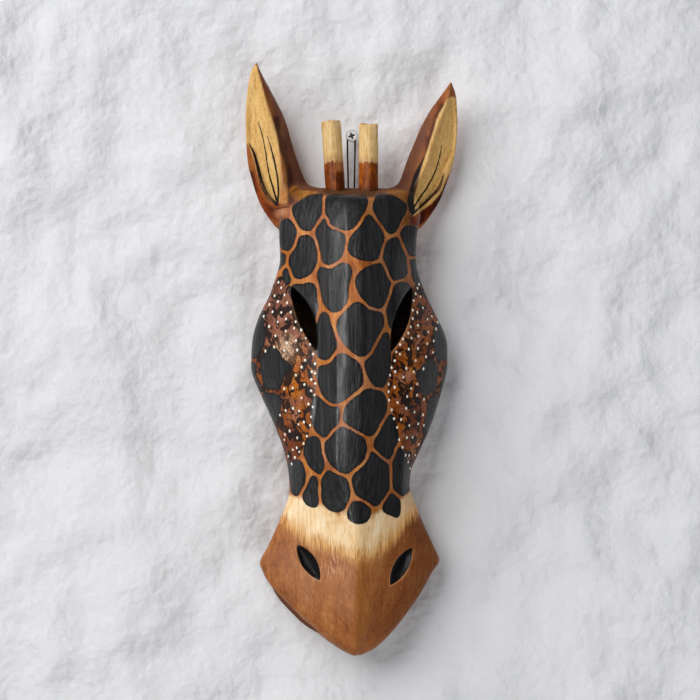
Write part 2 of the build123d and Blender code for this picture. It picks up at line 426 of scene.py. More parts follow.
def front_depth(x, z):
    """Depth of the front surface of the head, without the ears."""
    left, right = left_edge(z), right_edge(z)
    middle, half = (left + right) / 2, (right - left) / 2
    edge, band, band_edge, ridge = edge_depth(z), band_half(z), band_depth(z), ridge_depth(z)
    flat = smooth_step(-345, -270, z)
    crest = snout_ridge_x + (ridge_x - snout_ridge_x) * flat
    near = flat_width * flat
    far = (facet_width + facet_more * smooth_step(-190, -140, z)) * flat
    side = np.where(x > crest, 1.0, -1.0)

    def fall(distance):
        """How far across the roof a point counts: the facets left of the ridge count little."""
        left = (flat_tilt * np.minimum(distance, near)
                + facet_tilt * np.clip(distance - near, 0, far - near)
                + np.maximum(distance - far, 0))
        return np.where(side > 0, distance, left)

    away = np.abs(x - crest)
    rounded_away = np.sqrt(away**2 + ridge_rounding**2) - ridge_rounding
    reach = side * (middle_x + side * band - crest)
    share = fall(rounded_away) / np.maximum(fall(reach - ridge_rounding), 2)
    roof = ridge - (ridge - band_edge) * share**1.06
    outwards = np.clip((np.abs(x - middle_x) - band)
                       / np.maximum(half + side * (middle - middle_x) - band, 4), 0, 1.6)
    fullness = 1.15 + 0.35 * smooth_step(-125, -160, z) * smooth_step(-290, -240, z)
    cheek = band_edge - (band_edge - edge) * outwards**fullness
    return np.where(np.abs(x - middle_x) < band, roof, cheek)


def between(points, z):
    """x of an edge curve at height z."""
    curve = rounded(points)
    order = np.argsort(curve[:, 1])
    return np.interp(z, curve[order, 1], curve[order, 0])


class Ear:
    """One ear: a blade with a crest down its length and a scooped, pale outer face."""

    def __init__(self, outer, inner, crest, scoop):
        self.outer, self.inner, self.crest = outer, inner, crest
        self.tip = outer[0][1]
        closing = [(inner[-1][0], inner[-1][1] - 25), (outer[-1][0] * 0.7, outer[-1][1] - 8)]
        self.outline = np.vstack([rounded(outer)[::-1], rounded(inner), closing])
        self.scoop = rounded(scoop, 4, closed=True)

    def front(self, x, z):
        share = np.clip((z - top_z) / (self.tip - top_z), 0, 1)
        thin = 1 - ear_thinning * share
        crest_x, outer_x, inner_x = (between(e, z) for e in (self.crest, self.outer, self.inner))
        outside = np.abs(x) > np.abs(crest_x)
        edge_x = np.where(outside, outer_x, inner_x)
        width = np.where(np.abs(edge_x - crest_x) < 1, 1, edge_x - crest_x)
        t = np.clip((x - crest_x) / width, 0, 1.3)
        edge = np.where(outside, ear_edge, ear_edge + 2)
        depth = ear_lean * share + thin * (ear_crest + (edge - ear_crest) * t**1.1)
        scoop_depth = scoop_foot * (1 - share) ** 0.8 + scoop_tip
        inside = smooth_step(0.2, 3.2, -polygon_distance(x, z, self.scoop))
        return depth - scoop_depth * inside

    def back(self, z):
        share = np.clip((z - top_z) / (self.tip - top_z), 0, 1)
        return ear_lean * share + ear_back * (1 - 0.5 * share)


ears = [Ear(left_ear_outer, left_ear_inner, left_ear_crest, left_scoop),
        Ear(right_ear_outer, right_ear_inner, right_ear_crest, right_scoop)]


def steepness(surface, cell):
    """How much nearer a sloping surface is than its depth says, from 1 where it is flat."""
    gx, gz = np.gradient(surface, cell)
    return 1 / np.sqrt(1 + gx * gx + gz * gz)


def head_field(xs, depths, zs):
    """The mask as a field on a grid: about the distance in mm, negative in the wood."""
    cell = xs[1] - xs[0]
    x, z = np.meshgrid(xs, zs, indexing="ij")
    hand = 0.35 * lattice_noise(x, z, 16, 34, 1) + 0.22 * lattice_noise(x, z, 7, 15, 2)

    inset = -nearest_leaf(x, z, nostrils)
    dished = np.maximum(smooth_min(inset, nostril_depth, nostril_round), 0)
    front = front_depth(x, z) + hand - nostril_steepness * dished
    cuts = nearest_leaf(x, z, slits)
    outline = polygon_distance(x, z, head_outline())
    steep = steepness(front, cell)
    edge = edge_depth(z)

    field = np.empty((len(xs), len(depths), len(zs)), np.float32)
    slope = brow_drop / (brow_depth - shelf_depth)
    blades = []
    for ear in ears:
        ear_front = ear.front(x, z) + 0.6 * hand
        blades.append((polygon_distance(x, z, ear.outline), ear_front,
                       steepness(ear_front, cell), ear.back(z)))
    flared = (smooth_step(flare_top, flare_top - 24, z) * smooth_step(flare_low, flare_low + 20, z)
              * smooth_step(-2, -8, x))
    for j, depth in enumerate(depths):
        forward = np.clip(depth / edge, 0, 1)
        side = (outline + (1 - flared) * back_inset * (1 - forward)
                + flared * (flare_inset * (1 - forward) + flare * forward))
        faces = smooth_max((depth - front) * steep, side, edge_round)
        crown = z - top_z + slope * max(depth - shelf_depth, 0)
        body = smooth_max(faces, crown, edge_round)
        inner = smooth_max((depth + wall - front) * steep, side + wall, hollow_round)
        ends = smooth_max(z - hollow_top, hollow_low - z, 4.0)
        hollow = smooth_max(inner, ends, 10.0)
        pocket = np.maximum(np.abs(x) - pocket_half, depth - pocket_depth)
        pocket = np.maximum(pocket, np.maximum(z - crown_under, hollow_top - 8 - z))
        for ear_outline, ear_front, ear_steep, ear_rear in blades:
            blade = smooth_max(ear_outline, (depth - ear_front) * ear_steep, 3.0)
            blade = smooth_max(blade, ear_rear - depth, 3.0)
            body = smooth_min(body, blade, 7.0)
        body = smooth_max(body, -smooth_min(hollow, pocket, 3.0), 2.0)
        body = smooth_max(body, -cuts, cut_round)
        body = smooth_max(body, -(np.hypot(x, depth - cord_depth) - cord_hole_radius
                                  + np.clip(crown_under - 6 - z, 0, 99)), 0.8)
        field[:, j, :] = smooth_max(body, -depth + 0.0 * x, 1.5)
    return field


# ---- meshing ---------------------------------------------------------------------------
def layers(field, first, i, second, j):
    """A view of the field that is shifted by i and j grid steps along two of its axes."""
    cut = [slice(None)] * 3
    cut[first] = slice(i, field.shape[first] - 1 + i)
    cut[second] = slice(j, field.shape[second] - 1 + j)
    return field[tuple(cut)]


def part_sheets(field):
    """Move the few grid points outside where two sheets of the surface would share an edge."""
    for _ in range(8):
        moved = 0
        for first, second in ((0, 1), (0, 2), (1, 2)):
            a, b, c, d = (layers(field, first, i, second, j) for i in (0, 1) for j in (0, 1))
            met = ((a < 0) == (d < 0)) & ((b < 0) == (c < 0)) & ((a < 0) != (b < 0))
            lone_a, lone_b = met & (a < 0), met & (b < 0)
            a[lone_a], b[lone_b] = 0.02, 0.02
            moved += met.sum()
        if not moved:
            break


def surface_nets(field, xs, depths, zs):
    """One vertex in each cell that the surface crosses, and a quad round each crossed edge."""
    part_sheets(field)
    inside = field < 0
    cells = np.array(field.shape) - 1
    count = np.zeros(cells, np.uint8)
    corners = [(i, j, k) for i in (0, 1) for j in (0, 1) for k in (0, 1)]
    for i, j, k in corners:
        count += inside[i:i + cells[0], j:j + cells[1], k:k + cells[2]]
    active = np.argwhere((count > 0) & (count < 8))
    number = np.full(cells, -1, np.int64)
    number[tuple(active.T)] = np.arange(len(active))

    total, hits = np.zeros((len(active), 3)), np.zeros(len(active))
    values = {c: field[tuple((active + c).T)].astype(float) for c in corners}
    for low in corners:
        for axis in range(3):
            if low[axis]:
                continue
            high = tuple(v + (n == axis) for n, v in enumerate(low))
            a, b = values[low], values[high]
            crossed = (a < 0) != (b < 0)
            share = np.where(crossed, a / np.where(crossed, a - b, 1), 0)
            place = np.array(low, float)[None, :].repeat(len(active), 0)
            place[:, axis] += share
            total += place * crossed[:, None]
            hits += crossed
    grid = active + total / hits[:, None]
    step = np.array([xs[1] - xs[0], depths[1] - depths[0], zs[1] - zs[0]])
    points = grid * step + np.array([xs[0], depths[0], zs[0]])

    quads = []
    for axis in range(3):
        first, second = [n for n in range(3) if n != axis]
        start = inside[tuple(slice(0, -1) if n == axis else slice(1, -1) for n in range(3))]
        end = inside[tuple(slice(1, None) if n == axis else slice(1, -1) for n in range(3))]
        edges = np.argwhere(start != end)
        leaving = start[tuple(edges.T)]
        base = edges + np.array([0 if n == axis else 1 for n in range(3)])
        ring = []
        for da, db in ((1, 1), (0, 1), (0, 0), (1, 0)):
            at = base.copy()
            at[:, first] -= da
            at[:, second] -= db
            ring.append(number[tuple(at.T)])
        quad = np.stack(ring, 1)
        flip = leaving if axis == 1 else ~leaving
        quad[flip] = quad[flip][:, ::-1]
        quads.append(quad)
    return points, np.vstack(quads)


def mesh_from(name, points, faces):
    """A smooth-shaded object from millimetre points (x, depth, z) and equal-sized faces.

    Depth runs against y, so each face is turned round to point outwards again.
    """
    mesh = bpy.data.meshes.new(name)
    size = faces.shape[1]
    mesh.vertices.add(len(points))
    mesh.loops.add(faces.size)
    mesh.polygons.add(len(faces))
    places = np.stack([points[:, 0], -points[:, 1], points[:, 2]], 1) * MM
    mesh.vertices.foreach_set("co", places.astype(np.float32).ravel())
    mesh.loops.foreach_set("vertex_index", faces[:, ::-1].astype(np.int32).ravel())
    mesh.polygons.foreach_set("loop_start", np.arange(0, faces.size, size, dtype=np.int32))
    mesh.update(calc_edges=True)
    mesh.polygons.foreach_set("use_smooth", np.ones(len(faces), bool))
    return link(bpy.data.objects.new(name, mesh))


# ---- where the paint goes --------------------------------------------------------------
# The paint is laid out as it is seen from the front: u and v are millimetres across and up
# in the plane that the camera faces.
focus_depth, sight_drop = 38.0, 0.7
sight = camera_distance / MM
centre_u = aim.x / MM + slant * focus_depth
centre_v = aim.z / MM + rise * focus_depth - sight_drop


def seen(x, depth, z):
    """u and v of a point, as the camera sees it."""
    nearness = sight / (sight - (depth - focus_depth))
    u = centre_u + (x + slant * depth - centre_u) * nearness
    v = centre_v + (z + rise * depth - sight_drop - centre_v) * nearness
    return u, v


# The outline of each dark spot, as few points of a smooth closed curve.
spots = [
    [(-31, -51), (-23.5, -51.5), (-25, -68), (-29, -76.5), (-36, -81.5), (-43, -77.5), (-48.8, -64),
     (-42, -55)],
    [(-21, -54), (-10, -51.5), (8, -51), (14, -56), (10.5, -66), (6, -75), (-1, -80), (-14.5, -78.5),
     (-20.5, -66)],
    [(24, -51.5), (34, -51), (45.5, -57.5), (47, -64), (42, -73), (38.5, -81), (33.5, -83.5),
     (27, -76), (20.5, -66), (20.8, -56)],
    [(-68, -74), (-57, -71), (-49, -75), (-46.5, -84), (-49, -95), (-55, -98.5), (-62, -94)],
    [(44.5, -81), (49, -76.5), (62, -77), (65, -90), (58, -102), (52, -103.5), (46, -95.5),
     (42.8, -87)],
    [(-29, -84), (-25.5, -73.5), (-20.5, -72), (-18.5, -78), (-8, -83), (-4.8, -90), (-7, -101),
     (-14, -108.5), (-21.5, -109), (-25.5, -98)],
    [(-2, -94), (2, -85.5), (9, -77), (13.5, -69.5), (18, -70), (25.5, -79.5), (28, -87), (25, -101),
     (19.5, -106.8), (6, -104.5), (-0.5, -100)],
    [(-42, -87.5), (-35, -87), (-29.5, -93), (-28.8, -108), (-34, -117.5), (-43, -121.8), (-50, -117.5),
     (-51.8, -107), (-47, -97)],
    [(39, -86.8), (43.5, -92), (48, -107), (48.8, -116), (44.5, -121), (37, -123.5), (32, -117),
     (27.5, -102), (31, -92)],
    [(-68, -101), (-57, -100.5), (-55, -106), (-58, -112.5), (-68, -114)],
    [(50, -107), (55, -104.5), (66, -106), (68, -122), (58, -126.5), (52.5, -119)],
    [(-56, -114), (-51.8, -115), (-50.6, -122), (-53, -128.5), (-56.3, -121.5)],
    [(-27.5, -117.5), (-23.5, -112.8), (-16, -114.8), (-9, -109.8), (-2.5, -110.5), (0.5, -117),
     (-2.3, -129), (-3, -139), (-8, -147.5), (-17, -149.5), (-22.5, -141), (-25.5, -129)],
    [(4.8, -124), (8, -117.5), (17, -111.5), (26.5, -109.3), (30.3, -115), (33.6, -127), (31, -139.5),
     (24.5, -146.8), (16, -143.8), (8, -134.5)],
    [(-51, -129), (-41, -127.8), (-33, -126.8), (-29.3, -132), (-28.4, -148), (-30.5, -159),
     (-40, -158), (-49, -140)],
    [(37.5, -128), (43, -125), (50, -128), (53, -136), (47, -152), (37, -164), (32.5, -160),
     (31.3, -150), (33.4, -137)],
    [(-24, -151.5), (-19.5, -151.8), (-16.8, -162), (-12.6, -176), (-15.5, -186), (-22, -190),
     (-28, -185), (-29.6, -170), (-28, -157)],
    [(-3.5, -149.5), (4, -142.8), (10.5, -144.5), (16, -148.5), (25.5, -151), (28.4, -158),
     (22.5, -173), (17, -183.5), (9, -187), (1, -182.5), (-8.5, -170.5), (-10.8, -159)],
    [(26, -172), (31, -168.5), (33.3, -180), (32.8, -196), (28.5, -211.5), (21.5, -213),
     (15, -203.5), (12.3, -194), (17, -187.5)],
    [(-25.5, -196.8), (-18.5, -194.8), (-12, -188), (-5, -186.3), (3, -191), (9.3, -198),
     (9, -211.5), (1, -219), (-8, -225.5), (-16.5, -227.2), (-23, -220), (-27.6, -205)],
    [(-30, -222.5), (-24.5, -224), (-17, -229.5), (-11, -230.5), (-9.6, -238), (-14.5, -248.5),
     (-21.5, -255.3), (-28.5, -250.5), (-33, -237)],
    [(-6.3, -237), (-2, -228), (6, -221.5), (12.5, -216.5), (22, -215.8), (28.5, -220.5),
     (29.6, -234), (24, -249), (17, -254.3), (6, -250.5), (-3.5, -243.5)],
    [(-15, -252.5), (-8, -248), (-2, -249), (8.5, -254), (13, -264), (10.5, -275), (2.5, -281.8),
     (-3, -285.6), (-9.5, -284.5), (-18, -275), (-22.2, -265)],
    [(-36, -257.5), (-28, -256.2), (-24.8, -264), (-22.8, -277), (-25, -286), (-32, -282),
     (-38, -272), (-38.4, -263)],
    [(33.5, -237.3), (37.5, -242), (40, -255), (36.5, -268), (31, -274.5), (23.5, -268.5),
     (20.3, -261), (26, -246)],
    [(18, -268.8), (23, -270.5), (31, -278), (33.6, -288), (31, -302.5), (23, -312.5), (11, -309),
     (3.5, -301), (2.2, -289), (9, -282), (14.6, -276)],
    [(41.3, -264), (47, -274), (51, -284), (51, -296), (46.5, -302.5), (40.5, -304.5), (35.5, -295),
     (35.5, -281), (38, -270)],
    [(-47.5, -275.5), (-41.5, -277.5), (-38.4, -287), (-39.5, -297.5), (-46.5, -304.3),
     (-51.5, -296), (-55, -283)],
    [(-32.5, -289.5), (-28.5, -291.5), (-26.4, -303), (-29, -313.3), (-37, -311.5), (-39.5, -303)],
    [(-19.5, -285), (-13.5, -286.8), (-5, -290), (-1.2, -298), (-2.5, -311), (-9, -317.5),
     (-18, -315.8), (-24.8, -306), (-24.3, -292)],
    [(2, -310.5), (11, -310.3), (16.4, -316), (14.8, -325), (7.5, -328), (-0.5, -324.5),
     (-1.8, -316.5)],
    [(33.5, -303.7), (39.5, -305), (41.5, -312), (40.3, -321.8), (35.5, -321.2), (28.7, -317.4),
     (28.5, -310.5)],
    [(-76.5, -150), (-73.6, -163), (-73.2, -176), (-78, -186), (-84, -189.5), (-95, -180), (-90, -152)],
    [(-74.5, -202), (-74.5, -189), (-68, -180.5), (-62.5, -182), (-58, -190), (-50.5, -196.5),
     (-56.5, -203), (-58.5, -211.5), (-64.5, -216), (-72, -212)],
    [(-81, -194), (-80, -204), (-77, -214), (-90, -214), (-92, -194)],
    [(-74, -220.5), (-65, -219), (-59.6, -225), (-60.5, -236), (-64, -243), (-78, -238)],
    [(73.5, -160), (71.5, -174), (73.5, -188), (82, -190), (96, -184), (94, -158)],
    [(64, -193), (70.5, -191.5), (73.2, -199), (71, -213), (66, -219.8), (60.8, -216.5),
     (59, -208.5), (55.5, -204), (60, -198.5)],
    [(81.5, -193), (79.5, -206), (76.5, -222), (90, -222), (95, -194)],
    [(70, -222), (66, -230), (63.5, -243), (65, -250), (80, -246), (84, -226)],
]
spot_reach = 9.0          # how far outside a spot its distance still matters
spot_growth, spot_gap = 1.15, 2.3     # the brush goes over each outline, but not to the next

left_panel = [
    (-57, -120), (-49, -131), (-46, -140), (-43.5, -150), (-39, -163), (-33, -175),
    (-29.5, -183), (-28.5, -197), (-28.8, -212), (-30.8, -227), (-33, -242), (-36, -256),
    (-42, -270), (-51, -282), (-62, -290), (-100, -270), (-105, -190), (-80, -125),
]
right_panel = [
    (58, -119), (53, -131), (52, -150), (49, -165), (43, -175), (36, -184), (33, -198),
    (31.6, -212), (33, -226), (37, -240), (41, -256), (45.5, -269), (52, -283),
    (62, -292), (100, -270), (105, -190), (80, -125),
]
left_ear_zone = [
    (-100, 75), (-60, 75), (-24, -43), (-24, -50), (-34, -51), (-42, -55.5), (-48, -59.5),
    (-50.5, -64), (-51, -70), (-58, -72.5), (-66, -79), (-100, -66),
]
right_ear_zone = [
    (100, 70), (60, 70), (24, -43), (24, -49), (36, -51), (43, -54.5), (48, -59.5), (48, -66),
    (43.5, -74), (44, -77.5), (52, -76), (60, -80), (68, -80), (100, -66),
]
# Colours on the ears: a dark groove painted as the shade beside the crest, a tan strip painted as the
# crest's highlight, and a golden and a dark red brushed foot.
ear_lines = {
    "groove_shade": [[(-62.5, 12), (-59.5, -5), (-55, -22), (-51.5, -36), (-50.4, -57)],
               [(78, 24), (71.5, 6), (67, -10), (62, -28), (55.5, -46), (50, -68)]],
    "highlight_strip": [[(-61, 0), (-59, -12), (-57, -30), (-56, -57)],
              [(68, -16), (64, -32), (58, -50), (55, -60)]],
    "gold": [[(-47, -48), (-44, -52), (-32, -50.5)], [(34, -51), (45, -52), (49, -57), (46, -73)]],
    "foot": [[(-86, -36), (-80, -52), (-72, -64), (-62, -69)],
             [(80, -44), (74, -58), (64, -68), (52, -74)]],
}
knob_lines = [[(-64, -61), (-57, -60), (-52, -59)], [(-63, -63.5), (-57, -62.5), (-52, -61.5)]]

left_pale_face = [
    (-81, 58.5), (-78.3, 53.9), (-75.2, 42.5), (-71.4, 28.6), (-66.9, 14.7), (-63.8, 4.6),
    (-61.3, -5.5), (-59.8, -25), (-59.3, -45), (-60.5, -58), (-66, -57.5), (-73.5, -47),
    (-79, -33), (-83, -19), (-86.5, -9.5), (-96, 0), (-96, 30), (-88, 56),
]
right_pale_face = [
    (84.5, 32.4), (78.2, 23.6), (73.2, 13.5), (70, 2.1), (65.6, -11.8), (61.8, -23.1),
    (58.7, -34.4), (56.1, -45.9), (52.9, -56), (51.8, -69), (60.5, -63.6), (69.4, -57.2),
    (77.5, -47.1), (82.5, -35), (93, -20), (94, 0), (92, 28),
]
# The strokes on each ear: points down the stroke, and the half width at each of them.
ear_strokes = [
    [([(-85.4, -8.8), (-81.2, -17.7), (-77.8, -30.5), (-74.5, -43.3), (-69.3, -53.4),
       (-62.5, -59.7)], [0.4, 1.1, 1.5, 1.7, 1.7, 1.2]),
     ([(52.4, -64), (51.0, -57), (53.4, -43.4), (57.2, -30.7), (62.5, -19)],
      [2.6, 2.9, 2.3, 1.7, 0.3])],
    [([(-78.3, 9.7), (-74.5, -1.7), (-71.4, -18.1), (-68.9, -33.3), (-65.1, -47.1),
       (-62.0, -57.5)], [0.3, 0.5, 0.55, 0.6, 0.8, 1.0]),
     ([(77.5, -8.6), (75.7, -18.1), (72, -30.7), (65.6, -43.4), (58.7, -53.5),
       (52.4, -63.6)], [0.3, 0.5, 0.6, 0.7, 0.8, 0.9])],
    [([(-70.1, -2.9), (-66.9, -13), (-63.8, -25.7), (-61.5, -38.3), (-60.9, -49.7),
       (-61.6, -58.5)], [0.3, 0.6, 0.8, 0.8, 0.8, 1.0]),
     ([(79.3, -33), (74.9, -44.9), (66.2, -54.6), (58, -62.2), (51.7, -68.6)],
      [0.6, 1.6, 1.2, 0.9, 0.7])],
]
# The pale band across the snout: u and the height of its upper and of its lower edge.
band_edges = np.array([
    (-60, -300, -322), (-50, -303, -331), (-39, -308, -341), (-25, -313, -347),
    (-10, -317, -352), (0, -320, -357), (18, -322, -357), (28, -318, -351), (38, -310, -341),
    (44, -305, -331), (50, -301, -323), (60, -300, -316),
], float)


def spot_distance(u, v):
    """Signed distance to the nearest spot."""
    u = u + 0.35 * lattice_noise(u, v, 4.0, 5.0, 11)
    v = v + 0.35 * lattice_noise(u, v, 4.0, 5.0, 12)
    first = np.full(np.shape(u), spot_reach)
    second = first.copy()
    for spot in spots:
        outline = rounded(spot, 4, True)
        low, high = outline.min(0) - spot_reach, outline.max(0) + spot_reach
        close = (u > low[0]) & (u < high[0]) & (v > low[1]) & (v < high[1])
        near = polygon_distance(u[close], v[close], outline)
        second[close] = np.minimum(second[close], np.maximum(first[close], near))
        first[close] = np.minimum(first[close], near)
    return smooth_max(first - spot_growth, (first - second + spot_gap) / 2, 1.0)


def stroke_fields(u, v, points, halves):
    """The signed side distance to a stroke, and its half width abreast of each point."""
    taper = 0.6               # how fast a stroke narrows past its ends
    line = rounded(points)
    widths = np.interp(np.linspace(0, 1, len(line)), np.linspace(0, 1, len(halves)), halves)
    best = np.full(np.shape(u), 1e9)
    side = np.full(np.shape(u), 99.0)
    wide = np.zeros(np.shape(u))
    for start, end, first, last in zip(line, line[1:], widths, widths[1:]):
        t, away = along_piece(u, v, start, end)
        eu, ev = end - start
        across = ((u - start[0]) * ev - (v - start[1]) * eu) / math.hypot(eu, ev)
        beyond = np.maximum(away - np.abs(across), 0)
        nearer = away < best
        best = np.where(nearer, away, best)
        side = np.where(nearer, across, side)
        wide = np.where(nearer, first + (last - first) * t - taper * beyond, wide)
    return side, wide


def hollowness(points, quads):
    """How far each vertex lies below the middle of its neighbours, in mm, and its normal."""
    a, b, c, d = (points[quads[:, n]] for n in range(4))
    face_normal = np.cross(c - a, d - b)
    normal, around, links = np.zeros_like(points), np.zeros_like(points), np.zeros(len(points))
    for n in range(4):
        np.add.at(normal, quads[:, n], face_normal)
        np.add.at(around, quads[:, n], points[quads[:, (n + 1) % 4]])
        np.add.at(links, quads[:, n], 1)
    normal /= np.linalg.norm(normal, axis=1)[:, None] + 1e-9
    bend = np.sum((around / links[:, None] - points) * normal, 1)
    for _ in range(2):
        total = np.zeros(len(points))
        for n in range(4):
            np.add.at(total, quads[:, n], bend[quads[:, (n + 1) % 4]])
        bend = (bend + total / links) / 2
    return bend, normal


def nearest_area(u, v, *areas):
    """Signed distance to the nearest of some smooth closed outlines."""
    return np.minimum(*[polygon_distance(u, v, rounded(area, 3, True)) for area in areas])


def lay_out_paint(mesh, points, quads):
    """Keep at each vertex how far it lies from the edge of each area of paint, in mm."""
    x, depth, z = points.T
    u, v = seen(x, depth, z)
    bend, normal = hollowness(points, quads)
    outline = polygon_distance(x, z, head_outline())
    # On the side walls the pattern runs on round the edge, which is why u is pushed out there.
    behind = np.clip(edge_depth(z) - depth, 0, 60) * smooth_step(-7, -3, outline)
    behind *= smooth_step(10, 4, outline)
    around_u = u + np.sign(x - middle_x) * 0.9 * behind
    deep = front_depth(x, z) - depth
    zone = nearest_area(u, v, left_ear_zone, right_ear_zone)
    pale = nearest_area(u, v, left_pale_face, right_pale_face)
    panel = np.minimum(polygon_distance(around_u, v, np.array(left_panel)),
                       polygon_distance(around_u, v, np.array(right_panel)))
    facing = np.where(normal[:, 1] > -0.15, 1.0, 0.0)
    nostril, slit = nearest_leaf(x, z, nostrils), nearest_leaf(x, z, slits)
    # Raw wood is what lies deeper than the painted skin, but not in a nostril, a slit or the flare.
    inside = np.where((deep > 4.5) & (outline < -4.0) & (zone > 0), 1.0, 0.0)
    inside[(nostril < 2.0) & (deep < 9.0)] = 0.0
    inside[(slit < 1.4) & (deep < wall + 3)] = 0.0
    inside[(outline > -9.0) & (z < flare_top) & (x < 0) & (depth > 2.0)] = 0.0
    inside = np.maximum(inside, np.where(depth < 0.9, 1.0, 0.0))
    give(mesh, "spot", spot_distance(around_u, v))
    give(mesh, "panel", panel)
    give(mesh, "ear_zone", zone)
    give(mesh, "pale_face", np.where(facing > 0, pale, np.maximum(pale, 3.0)))
    sides, widths = [], []
    for left, right in ear_strokes:
        left_side, left_wide = stroke_fields(u, v, *left)
        right_side, right_wide = stroke_fields(u, v, *right)
        sides.append(np.where(u < 0, left_side, right_side))
        widths.append(np.where(u < 0, left_wide, right_wide) - 3.0 * (1 - facing))
    give(mesh, "stroke_side", np.stack(sides, 1))
    give(mesh, "stroke_half", np.stack(widths, 1))
    give(mesh, "nostril", nostril)
    give(mesh, "slit", slit)
    for name, (left, right) in ear_lines.items():
        away = np.where(u < 0, curve_distance(u, v, left), curve_distance(u, v, right))
        give(mesh, name, away + 20 * (1 - facing))
    give(mesh, "knob", np.minimum(*[curve_distance(u, v, line) for line in knob_lines]))
    band_top = np.interp(u, band_edges[:, 0], band_edges[:, 1]) - v
    band_low = v - np.interp(u, band_edges[:, 0], band_edges[:, 2])
    give(mesh, "band", np.stack([band_top, band_low, deep], 1))
    give(mesh, "inside", inside)
    give(mesh, "upward", normal[:, 2])
    give(mesh, "bend", bend)
    # How far a vertex lies inside an ear's inner edge, for the painted shade there.
    inner_shade_reach = np.where(u < 0, u - np.interp(v, [-70, 60], [-56, -80]),
                          np.interp(v, [-70, 40], [52, 82]) - u)
    give(mesh, "ear_inner", inner_shade_reach)


def make_head():
    cell = 1.7
    xs = np.arange(-97.0, 97.0, cell)
    depths = np.arange(-3.0, 96.0, cell)
    zs = np.arange(-447.0, 64.0, cell)
    points, quads = surface_nets(head_field(xs, depths, zs), xs, depths, zs)
    head = mesh_from("painted_head", points, quads)
    lay_out_paint(head.data, points, quads)
    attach(head, "head")
    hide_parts("carved_head")
    return head


head = make_head()


# ---- the raised dots -------------------------------------------------------------------
def place_on_face(tree, u, v):
    """The point of the head seen at (u, v), and its normal, in metres."""
    start_depth = 150.0
    nearness = sight / (sight - (start_depth - focus_depth))
    x = (u - centre_u) / nearness + centre_u - slant * start_depth
    z = (v - centre_v) / nearness + centre_v - rise * start_depth + sight_drop
    start = Vector((x, -start_depth, z)) * MM
    place, normal, _, _ = tree.ray_cast(start, (start - eye).normalized())
    return place, normal


# The dots, put on one by one: u and v of each.
dots_placed = [
    (-60.8, -125.7), (-58.4, -130.2), (-55.6, -136.2), (-64, -137), (-61.2, -141.8), (-53.5, -142.8),
    (-68.5, -144.4), (-65.8, -150.5), (-58.4, -151), (-50.4, -150.7), (-73.2, -154.4),
    (-54.3, -156.5), (-61.4, -159), (-46.2, -158.7), (-68.7, -162.8), (-47.5, -164.2),
    (-54.6, -166.7), (-41.5, -165.7), (-63.3, -170.7), (-37.6, -172.5), (-45.9, -174.7),
    (-53.6, -176.8), (-34, -177.8), (-64.3, -180.2), (-55.9, -183), (-45, -182.6), (-71.7, -183.6),
    (-31.5, -186), (-38.2, -191.2), (-29.9, -194.1), (-41.2, -197), (-32.5, -200.7),
    (-29.9, -202.1), (-46, -203.8), (-33.1, -207.4), (-29.6, -210.7), (-38.8, -211.6),
    (-55.9, -215.2), (-48.7, -214.7), (-33.2, -216.8), (-30.3, -220.4), (-41.3, -222.8),
    (-35.4, -228), (-31.7, -230.5), (-48.4, -231.6), (-54.6, -233.5), (-43.3, -233.9),
    (-59.3, -237.4), (-33.2, -238.9), (-39.2, -243.2), (-43.9, -245.2), (-34, -245.8),
    (-51.2, -250.7), (-55.2, -253.7), (-36.7, -255), (-44.8, -256.4), (-55.7, -258.1),
    (-39.5, -261.3), (-45.2, -264.8), (-48.5, -266.5), (-43.1, -268.3), (-52.4, -272),
    (-46.8, -273), (-49.5, -278.4),
    (58, -126.6), (56.7, -129.9), (55.2, -134.6), (59.3, -137), (53.5, -140.4), (67.3, -141.8),
    (61.4, -146.5), (52.9, -148.4), (56.6, -150.2), (68.9, -153.5), (52.7, -155.5), (65.2, -156.1),
    (73.8, -158.6), (57.2, -161.3), (51, -162.6), (72.5, -164.2), (65.8, -166.8), (49, -167.9),
    (57.7, -170.3), (51.7, -172), (44.4, -172.8), (70.5, -174.4), (65, -176.7), (42, -177.5),
    (57.2, -180.7), (49.4, -181.4), (38.8, -183.8), (69.8, -184), (41.8, -185.7), (63.9, -187.7),
    (37.4, -191.2), (55.2, -191), (34.8, -197), (47.2, -197.5), (61.8, -197.9), (37.9, -200.5),
    (53.5, -200.5), (33.4, -203.4), (44.8, -205.2), (32.4, -211), (56.4, -210.7), (37.4, -213.6),
    (51.3, -214.5), (32.3, -217.3), (56.3, -220.2), (48, -221.3), (32.7, -224.4), (62.1, -223.6),
    (39.9, -226.4), (47.2, -231.3), (34.9, -232.6), (54.1, -234.4), (61.4, -236.7), (36.9, -240),
    (42.8, -240.8), (57.3, -244.2), (49.7, -245.8), (62.1, -245.5), (39.4, -247.4), (47.7, -256),
    (52.4, -255.7), (41.1, -257.7), (57.7, -261.6), (44, -264.1), (46.6, -270.7), (49.5, -271),
    (54.7, -270.7), (48.8, -276.5), (50.4, -281.8),
]


dot_stretch, dot_skirt = 1.25, 0.2     # a dot is taller than wide, and its rim is sunk this much
least_dot_depth = 14.0                 # a dot that would land further back has missed the face


